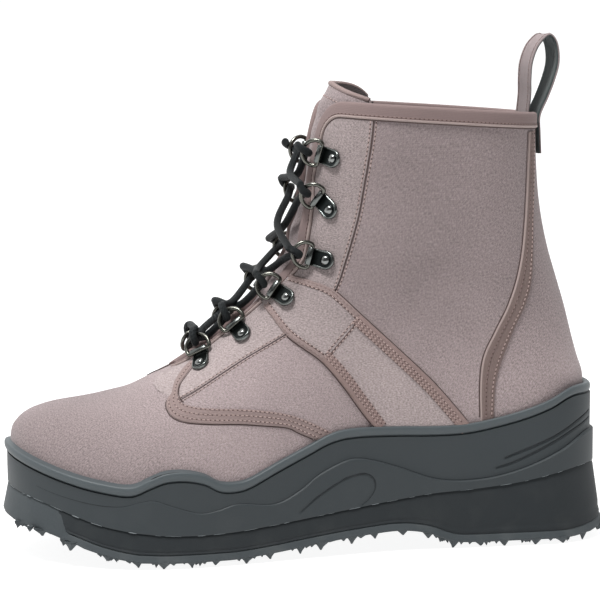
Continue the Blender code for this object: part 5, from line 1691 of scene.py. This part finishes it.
def make_lace():
    """Two strands from the lowest bar, crossing up the throat to the top rings."""
    lowest = len(EYELETS) - 1
    for side, label in SIDE_NAMES.items():
        begin, other = hook(lowest, side, True), hook(lowest, -side, True)
        points = [begin[0] + (other[0] - begin[0]) * 0.5] + begin
        hand = side
        for number in range(lowest - 1, -1, -1):
            middle = 0.5 * (EYELETS[number + 1][0] + EYELETS[number][0])
            height = LACE_OVER if (number % 2 == 0) == (side > 0) else LACE_UNDER
            points.append(bare_skin(middle, math.pi) + height * skin_normal(middle, math.pi))
            hand = -hand
            points += hook(number, hand)
        count = len(points)
        line = evenly(spline(points, np.linspace(0, count - 1, count * 8)).T, 0.8 * MM)[0]
        swept("lace_" + label, tube_loops(line, LACE_RADIUS, 14), CORD,
              ("lace",) if side > 0 else (), sharp=80)


# Studio: name, place, width and power of each lamp
LAMPS = (
    ("key", (0.50, 0.45, 1.60), 0.45, 29.0),
    ("rear", (0.0, -1.3, 1.2), 1.0, 4.0),
)
LAMP_TARGET = (0.12, 0, 0.12)
CAMERA_PLACE = (0.34007, 1.12046, 0.26737)
CAMERA_TARGET = (0.12227, 0.0, 0.12722)
CAMERA_LENS = 131.376
ROOM_FRONT = 0.12
FLOOR_SHADE = 0.30
FLOOR_GLOW = 0.90
FLOOR_REACH = 12.0


def aimed(name, data, where, target):
    made = shown(name, data)
    made.location = where
    made.rotation_euler = (Vector(target) - made.location).to_track_quat("-Z", "Y").to_euler()
    return made


def make_studio():
    """Camera, two lamps, a white room and a nearly shadowless white floor."""
    camera = bpy.data.cameras.new("camera")
    camera.sensor_width = 36
    camera.lens = CAMERA_LENS
    camera.clip_end = 50
    bpy.context.scene.camera = aimed("camera", camera, CAMERA_PLACE, CAMERA_TARGET)

    # a white room behind the boot, dimmer in front of it
    world = bpy.data.worlds.new("studio")
    world.use_nodes = True
    tree = world.node_tree
    direction = node(tree, "ShaderNodeTexCoord", {})["Generated"]
    level = node(tree, "ShaderNodeSeparateXYZ", {0: direction})[1]
    share = node(tree, "ShaderNodeMapRange", {0: level, 1: -0.15, 2: 0.45, 3: 1.05, 4: ROOM_FRONT})[0]
    room = tree.nodes["Background"].inputs
    tree.links.new(share, room[1])
    room[0].default_value = (1.0, 1.0, 1.0, 1)
    bpy.context.scene.world = world
    bpy.context.scene.view_settings.view_transform = "Standard"

    for name, where, size, power in LAMPS:
        lamp = bpy.data.lights.new(name, "AREA")
        lamp.size = size
        lamp.energy = power
        aimed(name, lamp, where, LAMP_TARGET)

    look = Look("floor", 0.9)
    look.set("Base Color", (FLOOR_SHADE, FLOOR_SHADE, FLOOR_SHADE, 1))
    look.set("Emission Color", (1, 1, 1, 1))
    look.set("Emission Strength", FLOOR_GLOW)
    mesh = bpy.data.meshes.new("floor")
    corners = [(a * FLOOR_REACH, b * FLOOR_REACH, 0) for a, b in ((-1, -1), (1, -1), (1, 1), (-1, 1))]
    mesh.from_pydata(corners, [], [(0, 1, 2, 3)])
    mesh.materials.append(look.made)
    floor = shown("floor", mesh)


make_studio()
make_tread()
make_cleats()
make_wedge()
make_sidewall()
make_insole()
make_upper()
for hand in (1, -1):
    make_eyestay(hand)
    make_bindings(hand)
    make_vamp_tape(hand)
    make_back_tape(hand)
    make_strap(hand)
make_tongue()
make_pull_loop()
make_hardware()
make_lace()
for hand in (1, -1):
    make_stitches(hand)
